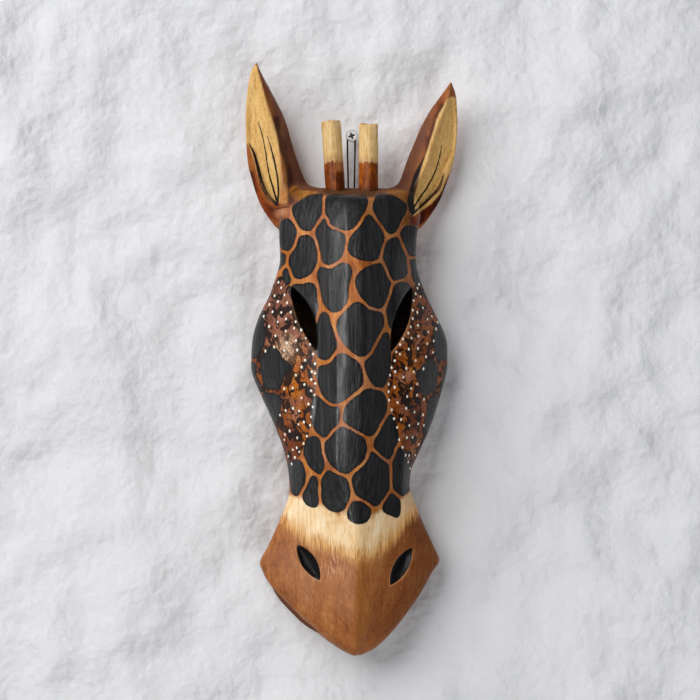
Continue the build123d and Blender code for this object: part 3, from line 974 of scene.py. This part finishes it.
def dome(centre, normal, radius, height, rng):
    """A small drop of paint, in mm: rings of points and the faces between them."""
    up = (Vector((0, 0, 1)) - normal * normal.z).normalized()
    across, up = up.cross(normal), up * dot_stretch
    sides, rings = 10, 3
    turn = rng.uniform(0, math.tau)
    points = [centre + normal * height]
    for ring in range(1, rings + 1):
        tilt = ring / rings * math.pi / 2
        for n in range(sides):
            angle = turn + n / sides * math.tau
            spoke = across * math.cos(angle) + up * math.sin(angle)
            sunk = dot_skirt if ring == rings else 0
            points.append(centre + spoke * radius * math.sin(tilt)
                          + normal * (height * math.cos(tilt) - sunk))
    faces = [(0, 1 + n, 1 + (n + 1) % sides) for n in range(sides)]
    faces += [[1 + n for n in face[::-1]] for face in skin(rings, sides)]
    faces.append([len(points) - 1 - n for n in range(sides)])
    return points, faces


def make_dots():
    rng = np.random.default_rng(21)
    surface = BVHTree.FromPolygons([v.co for v in head.data.vertices],
                                   [p.vertices for p in head.data.polygons])
    points, faces = [], []
    for u, v in dots_placed:
        place, normal = place_on_face(surface, u, v)
        if place is None or place.y > -least_dot_depth * MM:
            continue
        drop, drop_faces = dome(place / MM, normal, rng.uniform(0.95, 1.2), rng.uniform(0.35, 0.5),
                                rng)
        faces += [[len(points) + n for n in face] for face in drop_faces]
        points += drop
    dots = mesh_object("cheek_dots", points, faces)
    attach(dots, "head")
    return dots


dots = make_dots()


# ---- horns -----------------------------------------------------------------------------
horn_radius, horn_depth, horn_seat, horn_root = 8.25, 38.0, -50.0, 17.0
horn_forward = 3.0
# name, node, x at the seat, z of the top, lean in degrees, roughness of the sawn end, seed
horns = [("left_peg", "left_horn", -16.0, 9.7, 4.0, 0.35, 5),
         ("right_peg", "right_horn", 11.8, 7.0, 0.0, 1.1, 8)]


def make_horn(name, node, x, top, lean, rough, seed):
    """A peg whittled with long flat cuts, its end sawn and a little ragged."""
    rng = np.random.default_rng(seed)
    cuts, around, round_over = 11, 60, 2.2
    angles = (np.arange(cuts) + rng.uniform(-0.3, 0.3, cuts)) / cuts * math.tau
    length = (top - horn_seat) / math.cos(math.radians(lean))
    shoulder = length - round_over
    heights = np.concatenate([np.linspace(-horn_root, shoulder, 44),
                              shoulder + round_over * np.sin(np.linspace(0.2, 1, 5) * math.pi / 2)])
    theta = np.arange(around) / around * math.tau
    turn = np.abs((theta[:, None] - angles[None, :] + math.pi) % math.tau - math.pi)
    end_shape = rough * (0.5 * np.sin(theta * 2 + seed) + 0.35 * np.sin(theta * 5 + 2 * seed)
                         + 0.25 * np.sin(theta * 9 + seed))
    rings = []
    for height in heights:
        wave = lattice_noise(np.arange(cuts) * 7.0, np.full(cuts, height), 3.0, 17.0, seed + 1)
        planes = horn_radius - 0.22 + 0.3 * wave
        radius = np.min(planes / np.maximum(np.cos(turn), 0.2), axis=1)
        radius = np.minimum(radius, horn_radius + 0.05)
        if height > shoulder:
            share = (height - shoulder) / round_over
            radius = radius - (1 - math.sqrt(max(1 - share**2, 0))) * (1.0 + 0.5 * rough)
        lift = end_shape * smooth_step(length - 8, length, height)
        rings.append(np.stack([radius * np.cos(theta), radius * np.sin(theta), height + lift], 1))
    for shrink, drop in ((0.66, 0.1), (0.3, 0.25)):
        last = rings[-1] if shrink > 0.5 else rings[-2]
        rings.append(last * [shrink, shrink, 1] - [0, 0, drop])
    points = np.vstack(rings + [[[0, 0, rings[-1][:, 2].mean()], [0, 0, -horn_root]]])
    faces = skin(len(rings), around)
    top_ring, tip, foot = (len(rings) - 1) * around, len(points) - 2, len(points) - 1
    for n in range(around):
        faces.append((top_ring + n, top_ring + (n + 1) % around, tip))
        faces.append(((n + 1) % around, n, foot))
    lean_turn = Euler((math.radians(horn_forward), math.radians(-lean), 0)).to_matrix()
    seat = Vector((x, -horn_depth, horn_seat))
    horn = mesh_object(name, [lean_turn @ Vector(p) + seat for p in points], faces)
    give(horn.data, "height", points[:, 2])
    # The left horn's stain has worn off one of its flats.
    facing = np.cos(np.arctan2(points[:, 1], points[:, 0]) + 1.0)
    give(horn.data, "notch", smooth_step(0.86, 0.97, facing) * (node == "left_horn"))
    give(horn.data, "end", smooth_step(length - 1.1, length - 0.1, points[:, 2] + 0.3)
         * smooth_step(8.3, 7.4, np.hypot(points[:, 0], points[:, 1])))
    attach(horn, "head")
    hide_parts(node)
    return horn


horn_pieces = [make_horn(*row) for row in horns]


# ---- the screw -------------------------------------------------------------------------
head_radius, head_height, head_face, head_rim, face_dome = 5.0, 2.8, 13.5, 1.0, 0.35
shank_radius, thread_radius, thread_length, thread_tip = 1.9, 2.5, 32.0, 5.0
thread_pitch, thread_root, crest_share = 2.6, 0.25, 0.28
recess_reach, recess_half, recess_depth, recess_turn = 3.5, 0.9, 2.4, 20.0


def thread_surface(depth, angle):
    """The radius of the threaded part, which comes to a point at its end."""
    phase = (depth / thread_pitch + angle / math.tau) % 1.0
    crest = np.clip(1 - np.abs(phase - 0.5) / crest_share, 0, 1)
    root = shank_radius - thread_root
    pointed = np.clip((depth + thread_length + thread_tip) / thread_tip, 0, 1)
    return (root + (thread_radius - root) * crest) * pointed


def make_screw():
    """A countersunk cross-head screw: its axis runs along depth through the origin."""
    cell = 0.19
    xs = zs = np.arange(-5.73, 5.7, cell)
    depths = np.arange(-thread_length - thread_tip - 0.6, head_face + 0.8, cell)
    x, z = np.meshgrid(xs, zs, indexing="ij")
    radius, angle = np.hypot(x, z), np.arctan2(z, x)
    turn = math.radians(recess_turn)
    a, b = x * math.cos(turn) + z * math.sin(turn), z * math.cos(turn) - x * math.sin(turn)
    field = np.empty((len(xs), len(depths), len(zs)))
    for j, depth in enumerate(depths):
        below = head_face - depth
        body = shank_radius if depth > 0 else thread_surface(depth, angle)
        narrowing = np.clip((below - head_rim) / (head_height - head_rim), 0, 1)
        cone = head_radius - narrowing * (head_radius - shank_radius)
        solid = radius - np.maximum(body, cone if below < head_height + 0.4 else 0)
        solid = smooth_max(solid, face_dome * (radius / head_radius) ** 2 - below, 0.35)
        taper = np.clip(below / recess_depth, 0, 1)
        cross = np.minimum(np.abs(a), np.abs(b)) - recess_half * (1 - 0.45 * taper)
        cross = np.maximum(cross, radius - recess_reach * (1 - 0.55 * taper))
        cross = np.maximum(cross, below - recess_depth)
        field[:, j, :] = smooth_max(solid, -cross, 0.2)
    points, quads = surface_nets(field, xs, depths, zs)
    screw = mesh_from("wall_screw_zinc", points, quads)
    out, below = np.hypot(points[:, 0], points[:, 2]), head_face - points[:, 1]
    in_recess = out < recess_reach + 0.3
    give(screw.data, "recess", np.clip((below - 0.45) / 1.2, 0, 1) * in_recess * (below < 2.7))
    give(screw.data, "rim", smooth_step(4.2, 4.75, out)
         + smooth_step(0.9, 1.6, below) * (below < 3.2) * ~in_recess)
    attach(screw, "wall_screw")
    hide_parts("hanging_screw")
    return screw


screw = make_screw()


# ---- materials -------------------------------------------------------------------------
def colour(code):
    """A linear colour from its sRGB hex code."""
    parts = [int(code[n:n + 2], 16) / 255 for n in (0, 2, 4)]
    return (*[p / 12.92 if p <= 0.04045 else ((p + 0.055) / 1.055) ** 2.4 for p in parts], 1)


class Value:
    """What a node puts out. It adds, subtracts and multiplies like a number."""

    def __init__(self, paint, socket):
        self.paint, self.socket = paint, socket

    def out(self, key):
        """Another output of the same node."""
        return Value(self.paint, self.socket.node.outputs[key])

    def __add__(self, other):
        return self.paint.maths("ADD", self, other)

    def __sub__(self, other):
        return self.paint.maths("SUBTRACT", self, other)

    def __rsub__(self, other):
        return self.paint.maths("SUBTRACT", other, self)

    def __mul__(self, other):
        return self.paint.maths("MULTIPLY", self, other)

    def __abs__(self):
        return self.paint.maths("ABSOLUTE", self)


class Paint:
    """A material, with short ways to add nodes. Each takes plain numbers as well as Values."""

    def __init__(self, name):
        self.material = bpy.data.materials.new(name)
        self.material.use_nodes = True
        self.tree = self.material.node_tree
        self.shader = self.tree.nodes["Principled BSDF"]
        self.place = self.node("ShaderNodeTexCoord").out("Object")

    def join(self, socket, value):
        if isinstance(value, Value):
            self.tree.links.new(value.socket, socket)
        else:
            socket.default_value = value

    def node(self, kind, inputs=(), **settings):
        node = self.tree.nodes.new(kind)
        for name, value in settings.items():
            setattr(node, name, value)
        for key, value in dict(inputs).items():
            self.join(node.inputs[key], value)
        return Value(self, node.outputs[0])

    def maths(self, operation, *values):
        return self.node("ShaderNodeMath", enumerate(values), operation=operation)

    def most(self, first, second):
        return self.maths("MAXIMUM", first, second)

    def least(self, first, second):
        return self.maths("MINIMUM", first, second)

    def vector(self, operation, *values):
        return self.node("ShaderNodeVectorMath", enumerate(values), operation=operation)

    def noted(self, name):
        """A number that was kept at each vertex."""
        return self.node("ShaderNodeAttribute", attribute_name=name).out("Fac")

    def noted_three(self, name):
        return self.split(self.node("ShaderNodeAttribute", attribute_name=name).out("Vector"))

    def split(self, vector):
        parts = self.node("ShaderNodeSeparateXYZ", {0: vector})
        return [parts.out(n) for n in range(3)]

    def over(self, place, size):
        """A place divided by a size in millimetres along each axis."""
        return self.vector("MULTIPLY", place, [1 / (s * MM) for s in size])

    def sized(self, size, shift=0.0, turn=0):
        """Object coordinates over a size in mm, first turned about Y by some degrees."""
        place = self.place
        if turn:
            place = self.node("ShaderNodeVectorRotate", {"Vector": place, "Angle": math.radians(turn)},
                              rotation_type="Y_AXIS")
        return self.vector("ADD", self.over(place, size), [shift] * 3)

    def noise(self, size, detail=3.0, rough=0.55, bent=0.0, shift=0.0, turn=0):
        """Noise with lumps of a size in mm."""
        return self.node("ShaderNodeTexNoise", {
            "Vector": self.sized(size, shift, turn), "Scale": 1.0, "Detail": detail,
            "Roughness": rough, "Distortion": bent}).out("Fac")

    def spread(self, value, low, high, to_low=0.0, to_high=1.0, kind="LINEAR"):
        """The value taken from one range to another, and held at its ends."""
        return self.node("ShaderNodeMapRange", {0: value, 1: low, 2: high, 3: to_low, 4: to_high},
                         interpolation_type=kind)

    def soft(self, value, low, high, to_low=0.0, to_high=1.0):
        return self.spread(value, low, high, to_low, to_high, "SMOOTHSTEP")

    def swing(self, noise, reach):
        """Noise made to run from -reach to reach."""
        return self.spread(noise, 0.3, 0.7, -reach, reach)

    def within(self, distance, soft=0.35):
        """1 where a signed distance in mm is negative, with a soft edge."""
        return self.soft(distance, soft, -soft)

    def blob(self, middle, size):
        """1 at the middle of an ellipsoid, given in mm, and 0 from its edge outwards."""
        moved = self.vector("SUBTRACT", self.place, [m * MM for m in middle])
        return self.soft(self.vector("LENGTH", self.over(moved, size)).out("Value"), 1.0, 0.0)

    def ring_marks(self, size):
        """Hand-painted blobs and broken rings, one in each cell of about the given size."""
        bend = self.node("ShaderNodeTexNoise", {"Vector": self.sized((6, 6, 6), 2.9), "Scale": 1.0})
        pushed = self.vector("SUBTRACT", bend.out("Color"), [0.5] * 3)
        pushed = self.vector("MULTIPLY", pushed, [0.9] * 3)
        place = self.vector("ADD", self.sized((size,) * 3), pushed)
        cell = self.node("ShaderNodeTexVoronoi", {"Vector": place, "Scale": 1.0})
        kind = self.node("ShaderNodeSeparateColor", {0: cell.out("Color")})
        reach = self.spread(kind, 0.3, 1.0, 0.0, 0.42)
        return self.soft(abs(cell.out("Distance") - reach), 0.18, 0.13)

    def mix(self, share, first, second):
        return self.node("ShaderNodeMix", {0: share, 6: first, 7: second}, data_type="RGBA").out(2)

    def tint(self, base, share, code):
        return self.mix(share, base, colour(code))

    def between(self, share, first, second):
        return self.node("ShaderNodeMix", {0: share, 2: first, 3: second}, data_type="FLOAT")

    def ramp(self, value, *stops):
        """Colours along a value, each a hex code or a linear colour."""
        made = self.node("ShaderNodeValToRGB", {0: value})
        elements = made.socket.node.color_ramp.elements
        while len(elements) < len(stops):
            elements.new(0.5)
        for element, (place, shade) in zip(elements, stops):
            element.position = place
            element.color = colour(shade) if isinstance(shade, str) else shade
        return made

    def bump(self, height, depth_mm, under=None):
        values = {"Strength": 1.0, "Distance": depth_mm * MM, "Height": height}
        if under is not None:
            values["Normal"] = under
        return self.node("ShaderNodeBump", values)

    def finish(self, base, roughness, normal, coat=0.0, specular=0.5, metallic=0.0):
        for name, value in {"Base Color": base, "Roughness": roughness, "Normal": normal,
                            "Coat Weight": coat, "Coat Roughness": 0.2, "Metallic": metallic,
                            "Specular IOR Level": specular}.items():
            self.join(self.shader.inputs[name], value)
        return self.material


def bare_wood(p, grain, blotch, fine):
    """The stained snout, the pale band, and the brown between the spots, with painted shade towards the
    right.
    """
    x, _, z = p.split(p.place)
    # Painted shade: the right side, which faces away from the light, is made darker.
    shaded = p.soft(x, 2 * MM, 22 * MM)
    far_right_shade = p.spread(x, 14 * MM, 60 * MM)
    mixed = grain * 0.6 + blotch * 0.4
    stain = p.ramp(mixed, (0.36, "7C4222"), (0.5, "A2612F"), (0.64, "BC7C46"))
    # Painted shade on the stain, darker towards the right.
    stain = p.tint(stain, shaded * 0.34, "6E3008")
    stain = p.tint(stain, far_right_shade * 0.5, "421A06")
    scratch = p.noise((0.8, 0.8, 11), 3, 0.6, shift=4.4, turn=38)
    stain = p.tint(stain, p.spread(scratch, 0.52, 0.66, 0.0, 0.45), "6A3416")
    stain = p.tint(stain, p.spread(scratch, 0.46, 0.34, 0.0, 0.22), "C48A5C")
    pale_lines = p.blob((-19, -50, -366), (15, 200, 17)) * p.soft(fine, 0.5, 0.6)
    stain = p.tint(stain, pale_lines * 0.7, "DDA884")
    golden = p.blob((3, -50, -400), (9, 200, 60)) * 0.55
    stain = p.tint(stain, golden, "9A5E24")

    cream = p.ramp(mixed, (0.34, "D39D5C"), (0.48, "F0CC98"), (0.62, "FFE8C2"))
    # Painted shade on the pale band towards the right.
    cream = p.tint(cream, far_right_shade * 0.75, "B98C62")
    gold = p.ramp(grain, (0.36, "A8642E"), (0.5, "D9A05A"), (0.64, "E8BC7C"))

    ground = p.ramp(grain * 0.5 + blotch * 0.5, (0.36, "7C3E14"), (0.48, "AE6228"), (0.6, "CC8844"))
    pink = p.spread(p.noise((22, 22, 22), 1.5, shift=9.3), 0.42, 0.66)
    ground = p.tint(ground, pink * 0.38, "C08A6C")
    ochre = p.spread(p.noise((18, 18, 26), 1.5, shift=14.1), 0.52, 0.66)
    ground = p.tint(ground, ochre * 0.55, "A8601C")
    # Painted shade on the brown between the spots, towards the right.
    ground = p.tint(ground, shaded * 0.35, "7C4A26")

    band_top, band_low, deep = p.noted_three("band")
    low_edge = band_low + p.swing(fine, 2.6)
    top_edge = band_top + p.swing(blotch, 3.0)
    snout = p.mix(p.soft(low_edge, -9, 4), stain, gold)
    snout = p.mix(p.soft(low_edge, -1, 13), snout, cream)
    base = p.mix(p.soft(top_edge, -2.5, 3.5), ground, snout)
    wall_side = p.soft(deep, 2.5, 6.0)
    base = p.tint(base, wall_side * 0.75, "5A2206")
    return base, deep, shaded, wall_side


def ear_colours(p, grain, blotch, speck, fine):
    """Brown ears with grey painted shade on the inner side, a groove of painted shade, a strip of
    painted highlight on the crest, golden feet and a pale painted face.
    """
    brown = p.ramp(grain * 0.45 + blotch * 0.55, (0.36, "6A300E"), (0.5, "8E4C20"), (0.64, "AA6630"))
    # Painted shade: the inner side of each ear turns grey towards its inner edge.
    inner = p.soft(p.noted("ear_inner"), 2.0, 11.0)
    ear = p.tint(brown, inner * 0.7, "5C4034")
    # Painted highlight: a lighter strip down the crest of each ear.
    highlight_strip = p.ramp(grain, (0.36, "8A5426"), (0.52, "B47A44"), (0.66, "C89460"))
    ear = p.mix(p.soft(p.noted("highlight_strip"), 4.6, 2.0), ear, highlight_strip)
    # Painted shade: a dark groove beside the crest of each ear.
    groove_shade = p.soft(p.noted("groove_shade") + p.swing(blotch, 1), 4.6, 0.8)
    ear = p.tint(ear, groove_shade * 0.88, "3C1B0A")
    foot = p.ramp(blotch, (0.38, "3A1002"), (0.5, "642204"), (0.62, "8A3C0A"))
    ear = p.mix(p.soft(p.noted("foot"), 6.5, 3.0), ear, foot)
    gold = p.ramp(grain * 0.4 + blotch * 0.6, (0.38, "4A2604"), (0.5, "784410"), (0.62, "A06A2A"))
    ear = p.mix(p.soft(p.noted("gold"), 6.0, 3.0), ear, gold)
    ear = p.tint(ear, p.blob((-61, -36, -67.5), (9.5, 200, 7)), "AE7450")
    ear = p.tint(ear, p.within(p.noted("knob") - 0.6, 0.5), "4A200C")

    pale = p.ramp(grain * 0.65 + speck * 0.35, (0.36, "B98440"), (0.5, "DDB068"), (0.64, "EECB8C"))
    pale_edge = p.noted("pale_face") + p.swing(grain, 0.7)
    ear = p.mix(p.within(pale_edge, 0.9), ear, pale)
    side, half = p.noted_three("stroke_side"), p.noted_three("stroke_half")
    strokes = 0.0
    for one_side, one_half in zip(side, half):
        ragged = abs(one_side) - one_half + p.swing(fine, 0.2)
        strokes = p.most(strokes, p.within(ragged, 0.3))
    return p.tint(ear, strokes, "1A1312")


def cheek_colours(p, blotch, speck):
    """Orange brown and pinkish brown, with painted light and a painted glint, under dark blobs, broken
    rings and wandering lines.
    """
    x, _, z = p.split(p.place)
    mixed = blotch * 0.5 + speck * 0.5
    orange = p.ramp(mixed, (0.38, "542206"), (0.5, "843F0A"), (0.62, "B0641C"))
    bright = p.ramp(mixed, (0.38, "7A3806"), (0.5, "AE5C0C"), (0.62, "D88C30"))
    # Painted light: the cheeks turn a brighter orange where light falls on them, the left one most.
    left_painted_light = p.blob((-45, -50, -208), (24, 200, 42))
    painted_light = p.most(left_painted_light, p.blob((45, -50, -200), (20, 200, 55)) * 0.3)
    orange = p.mix(p.least(painted_light * 1.6, 0.9), orange, bright)
    rosy = p.ramp(mixed, (0.38, "4C2C20"), (0.5, "7C4C3C"), (0.62, "A87664"))
    high = p.spread(z, -205 * MM, -165 * MM) * p.spread(x, 0.0, -20 * MM)
    rosy_patch = p.spread(p.noise((14, 14, 14), 1.5, shift=21.0), 0.50, 0.62)
    ground = p.mix(p.most(high * 0.8, rosy_patch * 0.65), orange, rosy)
    # Painted highlight: a whitish glint on the left cheek, where the dark marks fade.
    painted_glint = p.blob((-58, -50, -184), (14, 200, 20))
    ground = p.tint(ground, painted_glint * p.spread(speck, 0.36, 0.6), "E2C4A2")
    rings = p.ring_marks(9.5)
    bent = p.noise((13, 13, 13), 1.5, 0.5, 1.2, shift=5.5)
    lines = p.soft(abs(bent - 0.5), 0.042, 0.028)
    blots = p.soft(p.noise((7.5, 7.5, 9), 0.0, 0.5, 0.6, shift=11.3), 0.565, 0.595)
    broken = p.soft(p.noise((9, 9, 9), 0, shift=17.0), 0.38, 0.44)
    dark = p.most(p.most(rings, lines) * broken, blots)
    return p.tint(ground, dark * p.spread(painted_glint, 0.0, 1.0, 0.95, 0.5), "100805")


def spot_colours(p, grain, shaded):
    """Charcoal, brushed on down the length of the head, with a blacker rim, and painted shade that
    makes it darker towards the right.
    """
    brushed = p.ramp(grain, (0.34, "131314"), (0.5, "1F1F20"), (0.68, "3A3A3B"))
    # Painted shade: the spots are darker towards the right, away from the light.
    brushed = p.tint(brushed, shaded * 0.5, "0E0E0F")
    rim = p.soft(p.noted("spot"), -2.2, -0.9)
    return p.tint(brushed, rim * 0.8, "0B0B0C")


def painted_wood():
    """The whole head: each area of paint over the ones before it."""
    p = Paint("painted_wood")
    fine = p.noise((0.9, 0.9, 24), 4, 0.62)
    streak = p.noise((2.6, 2.6, 70), 3, 0.5, shift=3.1)
    blotch = p.noise((16, 16, 22), 3, 0.5, 0.6, shift=7.7)
    speck = p.noise((0.8, 0.8, 1.6), 2, 0.6, shift=1.3)
    grain = fine * 0.55 + streak * 0.45
    base, deep, shaded, wall_side = bare_wood(p, grain, blotch, fine)

    # Surfaces that face upwards, on the top between the ears, are darker, and almost black along the
    # back edge.
    upward = p.soft(p.noted("upward"), 0.45, 0.8)
    top_wood = p.ramp(grain, (0.36, "2C1408"), (0.52, "582A10"), (0.68, "784220"))
    base = p.mix(upward, base, top_wood)
    back_edge = upward * p.soft(deep, 30.0, 36.0)
    base = p.tint(base, back_edge * 0.85, "1C100C")

    zone = p.within(p.noted("ear_zone"), 1.0)
    base = p.mix(zone, base, ear_colours(p, grain, blotch, speck, fine))
    not_ear = 1.0 - zone
    panel = p.within(p.noted("panel") + p.swing(speck, 0.6), 0.5)
    base = p.mix(panel * not_ear, base, cheek_colours(p, blotch, speck))

    spot_edge = p.noted("spot") + p.swing(speck, 0.3)
    spot = p.within(spot_edge, 0.3) * not_ear
    base = p.mix(spot, base, spot_colours(p, grain, shaded))
    # Painted shade: two small dents on the nose are painted black inside.
    for shaded_dent in ((-13.2, -86, -214.8), (-8.4, -86, -214.6)):
        dent_shade = p.spread(p.blob(shaded_dent, (2.6, 200, 1.0)), 0.3, 0.7)
        base = p.tint(base, dent_shade, "050505")

    # Nostrils, slit edges painted black as the shade in the slits, and the raw wood behind.
    _, _, z = p.split(p.place)
    nostril = p.noted("nostril")
    lip = p.within(nostril - 0.7, 0.4)
    base = p.tint(base, lip * p.spread(z, -352 * MM, -372 * MM, 0.1, 0.7), "C88E5E")
    black = p.within(nostril, 0.3)
    # Painted shade: the cut walls of the eye slits are black.
    cut = p.within(p.noted("slit") - 0.5, 0.4) * p.spread(deep, 0.1, 0.9)
    base = p.tint(base, black, "040405")
    base = p.tint(base, cut, "020202")
    raw = p.ramp(grain, (0.36, "3E2614"), (0.52, "5C3A20"), (0.68, "7A5230"))
    inside = p.noted("inside")
    base = p.mix(inside, base, raw)

    # Edges are rubbed paler and hollows hold more stain.
    bend = p.noted("bend")
    bare = (1.0 - cut) * p.spread(spot, 0.0, 1.0, 1.0, 0.1)
    base = p.tint(base, p.spread(bend, -0.05, -0.3, 0.0, 0.30) * bare, "C98E58")
    base = p.tint(base, p.spread(bend, 0.05, 0.3, 0.0, 0.45), "24140C")

    unvarnished = p.most(p.most(cut, inside), wall_side)
    gloss = p.spread(grain, 0.3, 0.7, 0.34, 0.5)
    gloss = p.between(spot, gloss, p.spread(grain, 0.35, 0.65, 0.24, 0.46))
    gloss = p.between(black, gloss, 0.42)
    gloss = p.between(unvarnished, gloss, 0.95)
    brush = p.noise((1.5, 1.5, 34), 3, 0.6, shift=6.1)
    normal = p.bump(fine, 0.22)
    normal = p.bump(streak, 0.5, normal)
    normal = p.bump(brush * spot, 0.35, normal)
    normal = p.bump(p.within(spot_edge, 0.8), 0.12, normal)
    shine = p.between(spot, 0.03, p.spread(grain, 0.4, 0.6, 0.16, 0.4))
    glossy_foot = p.soft(p.noted("foot"), 7.0, 3.0) * 0.45
    shine = p.most(shine, glossy_foot)
    shine = p.between(unvarnished, shine, 0.0)
    return p.finish(base, gloss, normal, coat=shine, specular=0.2)


def dot_paint():
    p = Paint("cream_paint")
    speck = p.noise((0.7, 0.7, 0.7), 2)
    patch = p.noise((9, 9, 9), 2, shift=2.2)
    mixed = speck * 0.4 + patch * 0.6
    base = p.ramp(mixed, (0.34, "F2DDB4"), (0.5, "FFF8E6"), (0.66, "FFFFFA"))
    return p.finish(base, p.spread(speck, 0.3, 0.7, 0.3, 0.5), p.bump(speck, 0.08), coat=0.2)


def horn_paint():
    """Pale wood above a ragged line and dark, glossy stain below it."""
    stain_height = 24.5
    p = Paint("horn_wood")
    fine = p.noise((0.8, 0.8, 14), 4, 0.65)
    streak = p.noise((2.2, 2.2, 30), 3, shift=4.0)
    blotch = p.noise((7, 7, 9), 3, shift=8.0)
    grain = fine * 0.5 + streak * 0.5
    pale = p.ramp(grain * 0.7 + blotch * 0.3, (0.36, "B98A4C"), (0.5, "DDB87C"), (0.62, "EDD2A0"))
    stain = p.ramp(grain * 0.6 + blotch * 0.4, (0.38, "421802"), (0.5, "7E3A04"), (0.62, "B86410"))
    height = p.noted("height")
    line = height - stain_height + p.swing(streak, 2.0) + p.swing(fine, 0.8)
    worn = p.noted("notch") * p.soft(line, -10.0, -7.0)
    stain = p.tint(stain, worn * 0.75, "B8794A")
    base = p.mix(p.soft(line, -0.5, 0.5), stain, pale)
    faint = p.soft(line, 7.5, 1.0) * p.soft(line, -0.6, 0.6)
    base = p.tint(base, faint * 0.5, "B27B52")
    foot = p.soft(height, 5.0, 0.0, 0.0, 0.6)
    base = p.tint(base, foot, "3A1A0C")
    sawn = p.ramp(p.noise((0.7, 0.7, 0.7), 3), (0.36, "A87C48"), (0.5, "C79E66"), (0.62, "D8B684"))
    base = p.mix(p.noted("end"), base, sawn)
    gloss = p.between(p.spread(line, -0.6, 0.6), 0.42, p.spread(grain, 0.3, 0.7, 0.5, 0.7))
    normal = p.bump(fine, 0.3)
    normal = p.bump(streak, 0.5, normal)
    return p.finish(base, gloss, normal, coat=0.0, specular=0.16)


def cord_paint():
    p = Paint("black_cord")
    twist = p.noise((0.35, 0.35, 0.7), 2, 0.6)
    wear = p.noise((3, 3, 6), 2, shift=1.0)
    base = p.ramp(twist * 0.6 + wear * 0.4, (0.36, "070708"), (0.52, "111112"), (0.66, "26262A"))
    return p.finish(base, p.spread(twist, 0.3, 0.7, 0.55, 0.75), p.bump(twist, 0.25))


def zinc():
    """Bright plating, with shadow in the cross and round the edge of the screw's head."""
    p = Paint("bright_zinc")
    scratch = p.noise((0.25, 2.0, 0.25), 3, 0.6)
    tarnish = p.noise((2.2, 2.2, 2.2), 3, shift=6.0)
    base = p.ramp(scratch * 0.4 + tarnish * 0.6, (0.34, "D8E2EA"), (0.5, "F4F8FC"), (0.66, "FFFFFF"))
    base = p.tint(base, p.spread(p.noted("rim"), 0.0, 1.0) * 0.85, "2C333B")
    recess = p.noted("recess")
    base = p.tint(base, recess * 0.95, "0A0D16")
    return p.finish(base, p.spread(tarnish, 0.3, 0.7, 0.34, 0.5), p.bump(scratch, 0.03),
                    metallic=p.spread(recess, 0.0, 1.0, 0.15, 0.0))


head.data.materials.append(painted_wood())
dots.data.materials.append(dot_paint())
horn_material = horn_paint()
for horn in horn_pieces:
    horn.data.materials.append(horn_material)
black = cord_paint()
cord.data.materials.append(black)
knot.data.materials.append(black)
screw.data.materials.append(zinc())


# ---- the stage and the light -----------------------------------------------------------
def wall_paint():
    """Rough white plaster on the side that faces the room, and clear from behind."""
    p = Paint("wall_paint")
    # Next to no light gets behind the mask in a room, so the wall is dark where it is covered.
    open_sky = p.node("ShaderNodeAmbientOcclusion", {"Distance": 0.2}, samples=16).out("AO")
    above = p.spread(p.split(p.place)[2], -105 * MM, -85 * MM)
    shade = p.ramp(p.most(open_sky, above), (0.07, (0.004, 0.004, 0.004, 1)),
                   (0.17, (0.79, 0.79, 0.80, 1)))
    relief = None
    for size, depth in ((120, 35), (35, 5), (7, 1.2)):
        lumps = p.node("ShaderNodeTexNoise", {"Vector": p.place, "Scale": 1 / (size * MM), "Detail": 2})
        relief = p.bump(lumps, depth, relief)
    p.finish(shade, 0.9, relief, specular=0.1)
    behind = p.node("ShaderNodeNewGeometry").out("Backfacing")
    sides = p.node("ShaderNodeMixShader", {0: behind, 1: Value(p, p.shader.outputs[0]),
                                           2: p.node("ShaderNodeBsdfTransparent")})
    p.join(p.tree.nodes["Material Output"].inputs["Surface"], sides)
    return p.material


def make_stage():
    """A flat wall just behind the mask, which isn't part of the object."""
    wide, high, back = 3000, 2000, 0.8
    plaster = mesh_object("wall", [(-wide, back, -high), (wide, back, -high),
                                   (wide, back, high), (-wide, back, high)], [(0, 1, 2, 3)])
    plaster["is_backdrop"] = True
    plaster.visible_shadow = False      # the light behind reaches the hollow
    plaster.data.materials.append(wall_paint())


def make_light(name, place, size, power, target=(0, -0.03, -0.2)):
    light = link(bpy.data.objects.new(name, bpy.data.lights.new(name, "AREA")))
    light.data.size, light.data.energy = size, power
    point_at(light, place, Vector(target) - Vector(place))
    return light


make_stage()
# A large window at the upper left, a tall strip for the sheen, and two weaker lights.
window = make_light("window", (-2.2, -2.2, 1.5), 3.2, 150)
window.visible_glossy = False
highlight_strip = make_light("highlight_strip", (-1.5, -2.45, -0.15), 0.8, 80)
highlight_strip.data.shape = "RECTANGLE"
highlight_strip.data.size_y = 3.0
highlight_strip.visible_diffuse = False
make_light("bounce", (1.3, -1.7, -2.3), 2.0, 32).visible_glossy = False
make_light("behind", (0.9, 1.8, 0.9), 1.6, 26).visible_glossy = False
world = bpy.data.worlds.new("world")
bpy.context.scene.world = world
world.use_nodes = True
world.node_tree.nodes["Background"].inputs[0].default_value = (0.88, 0.92, 1.0, 1)
world.node_tree.nodes["Background"].inputs[1].default_value = 0.14
bpy.context.scene.view_settings.view_transform = "Standard"

{"cad": cad_box, "visual": [list(corner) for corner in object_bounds()]}
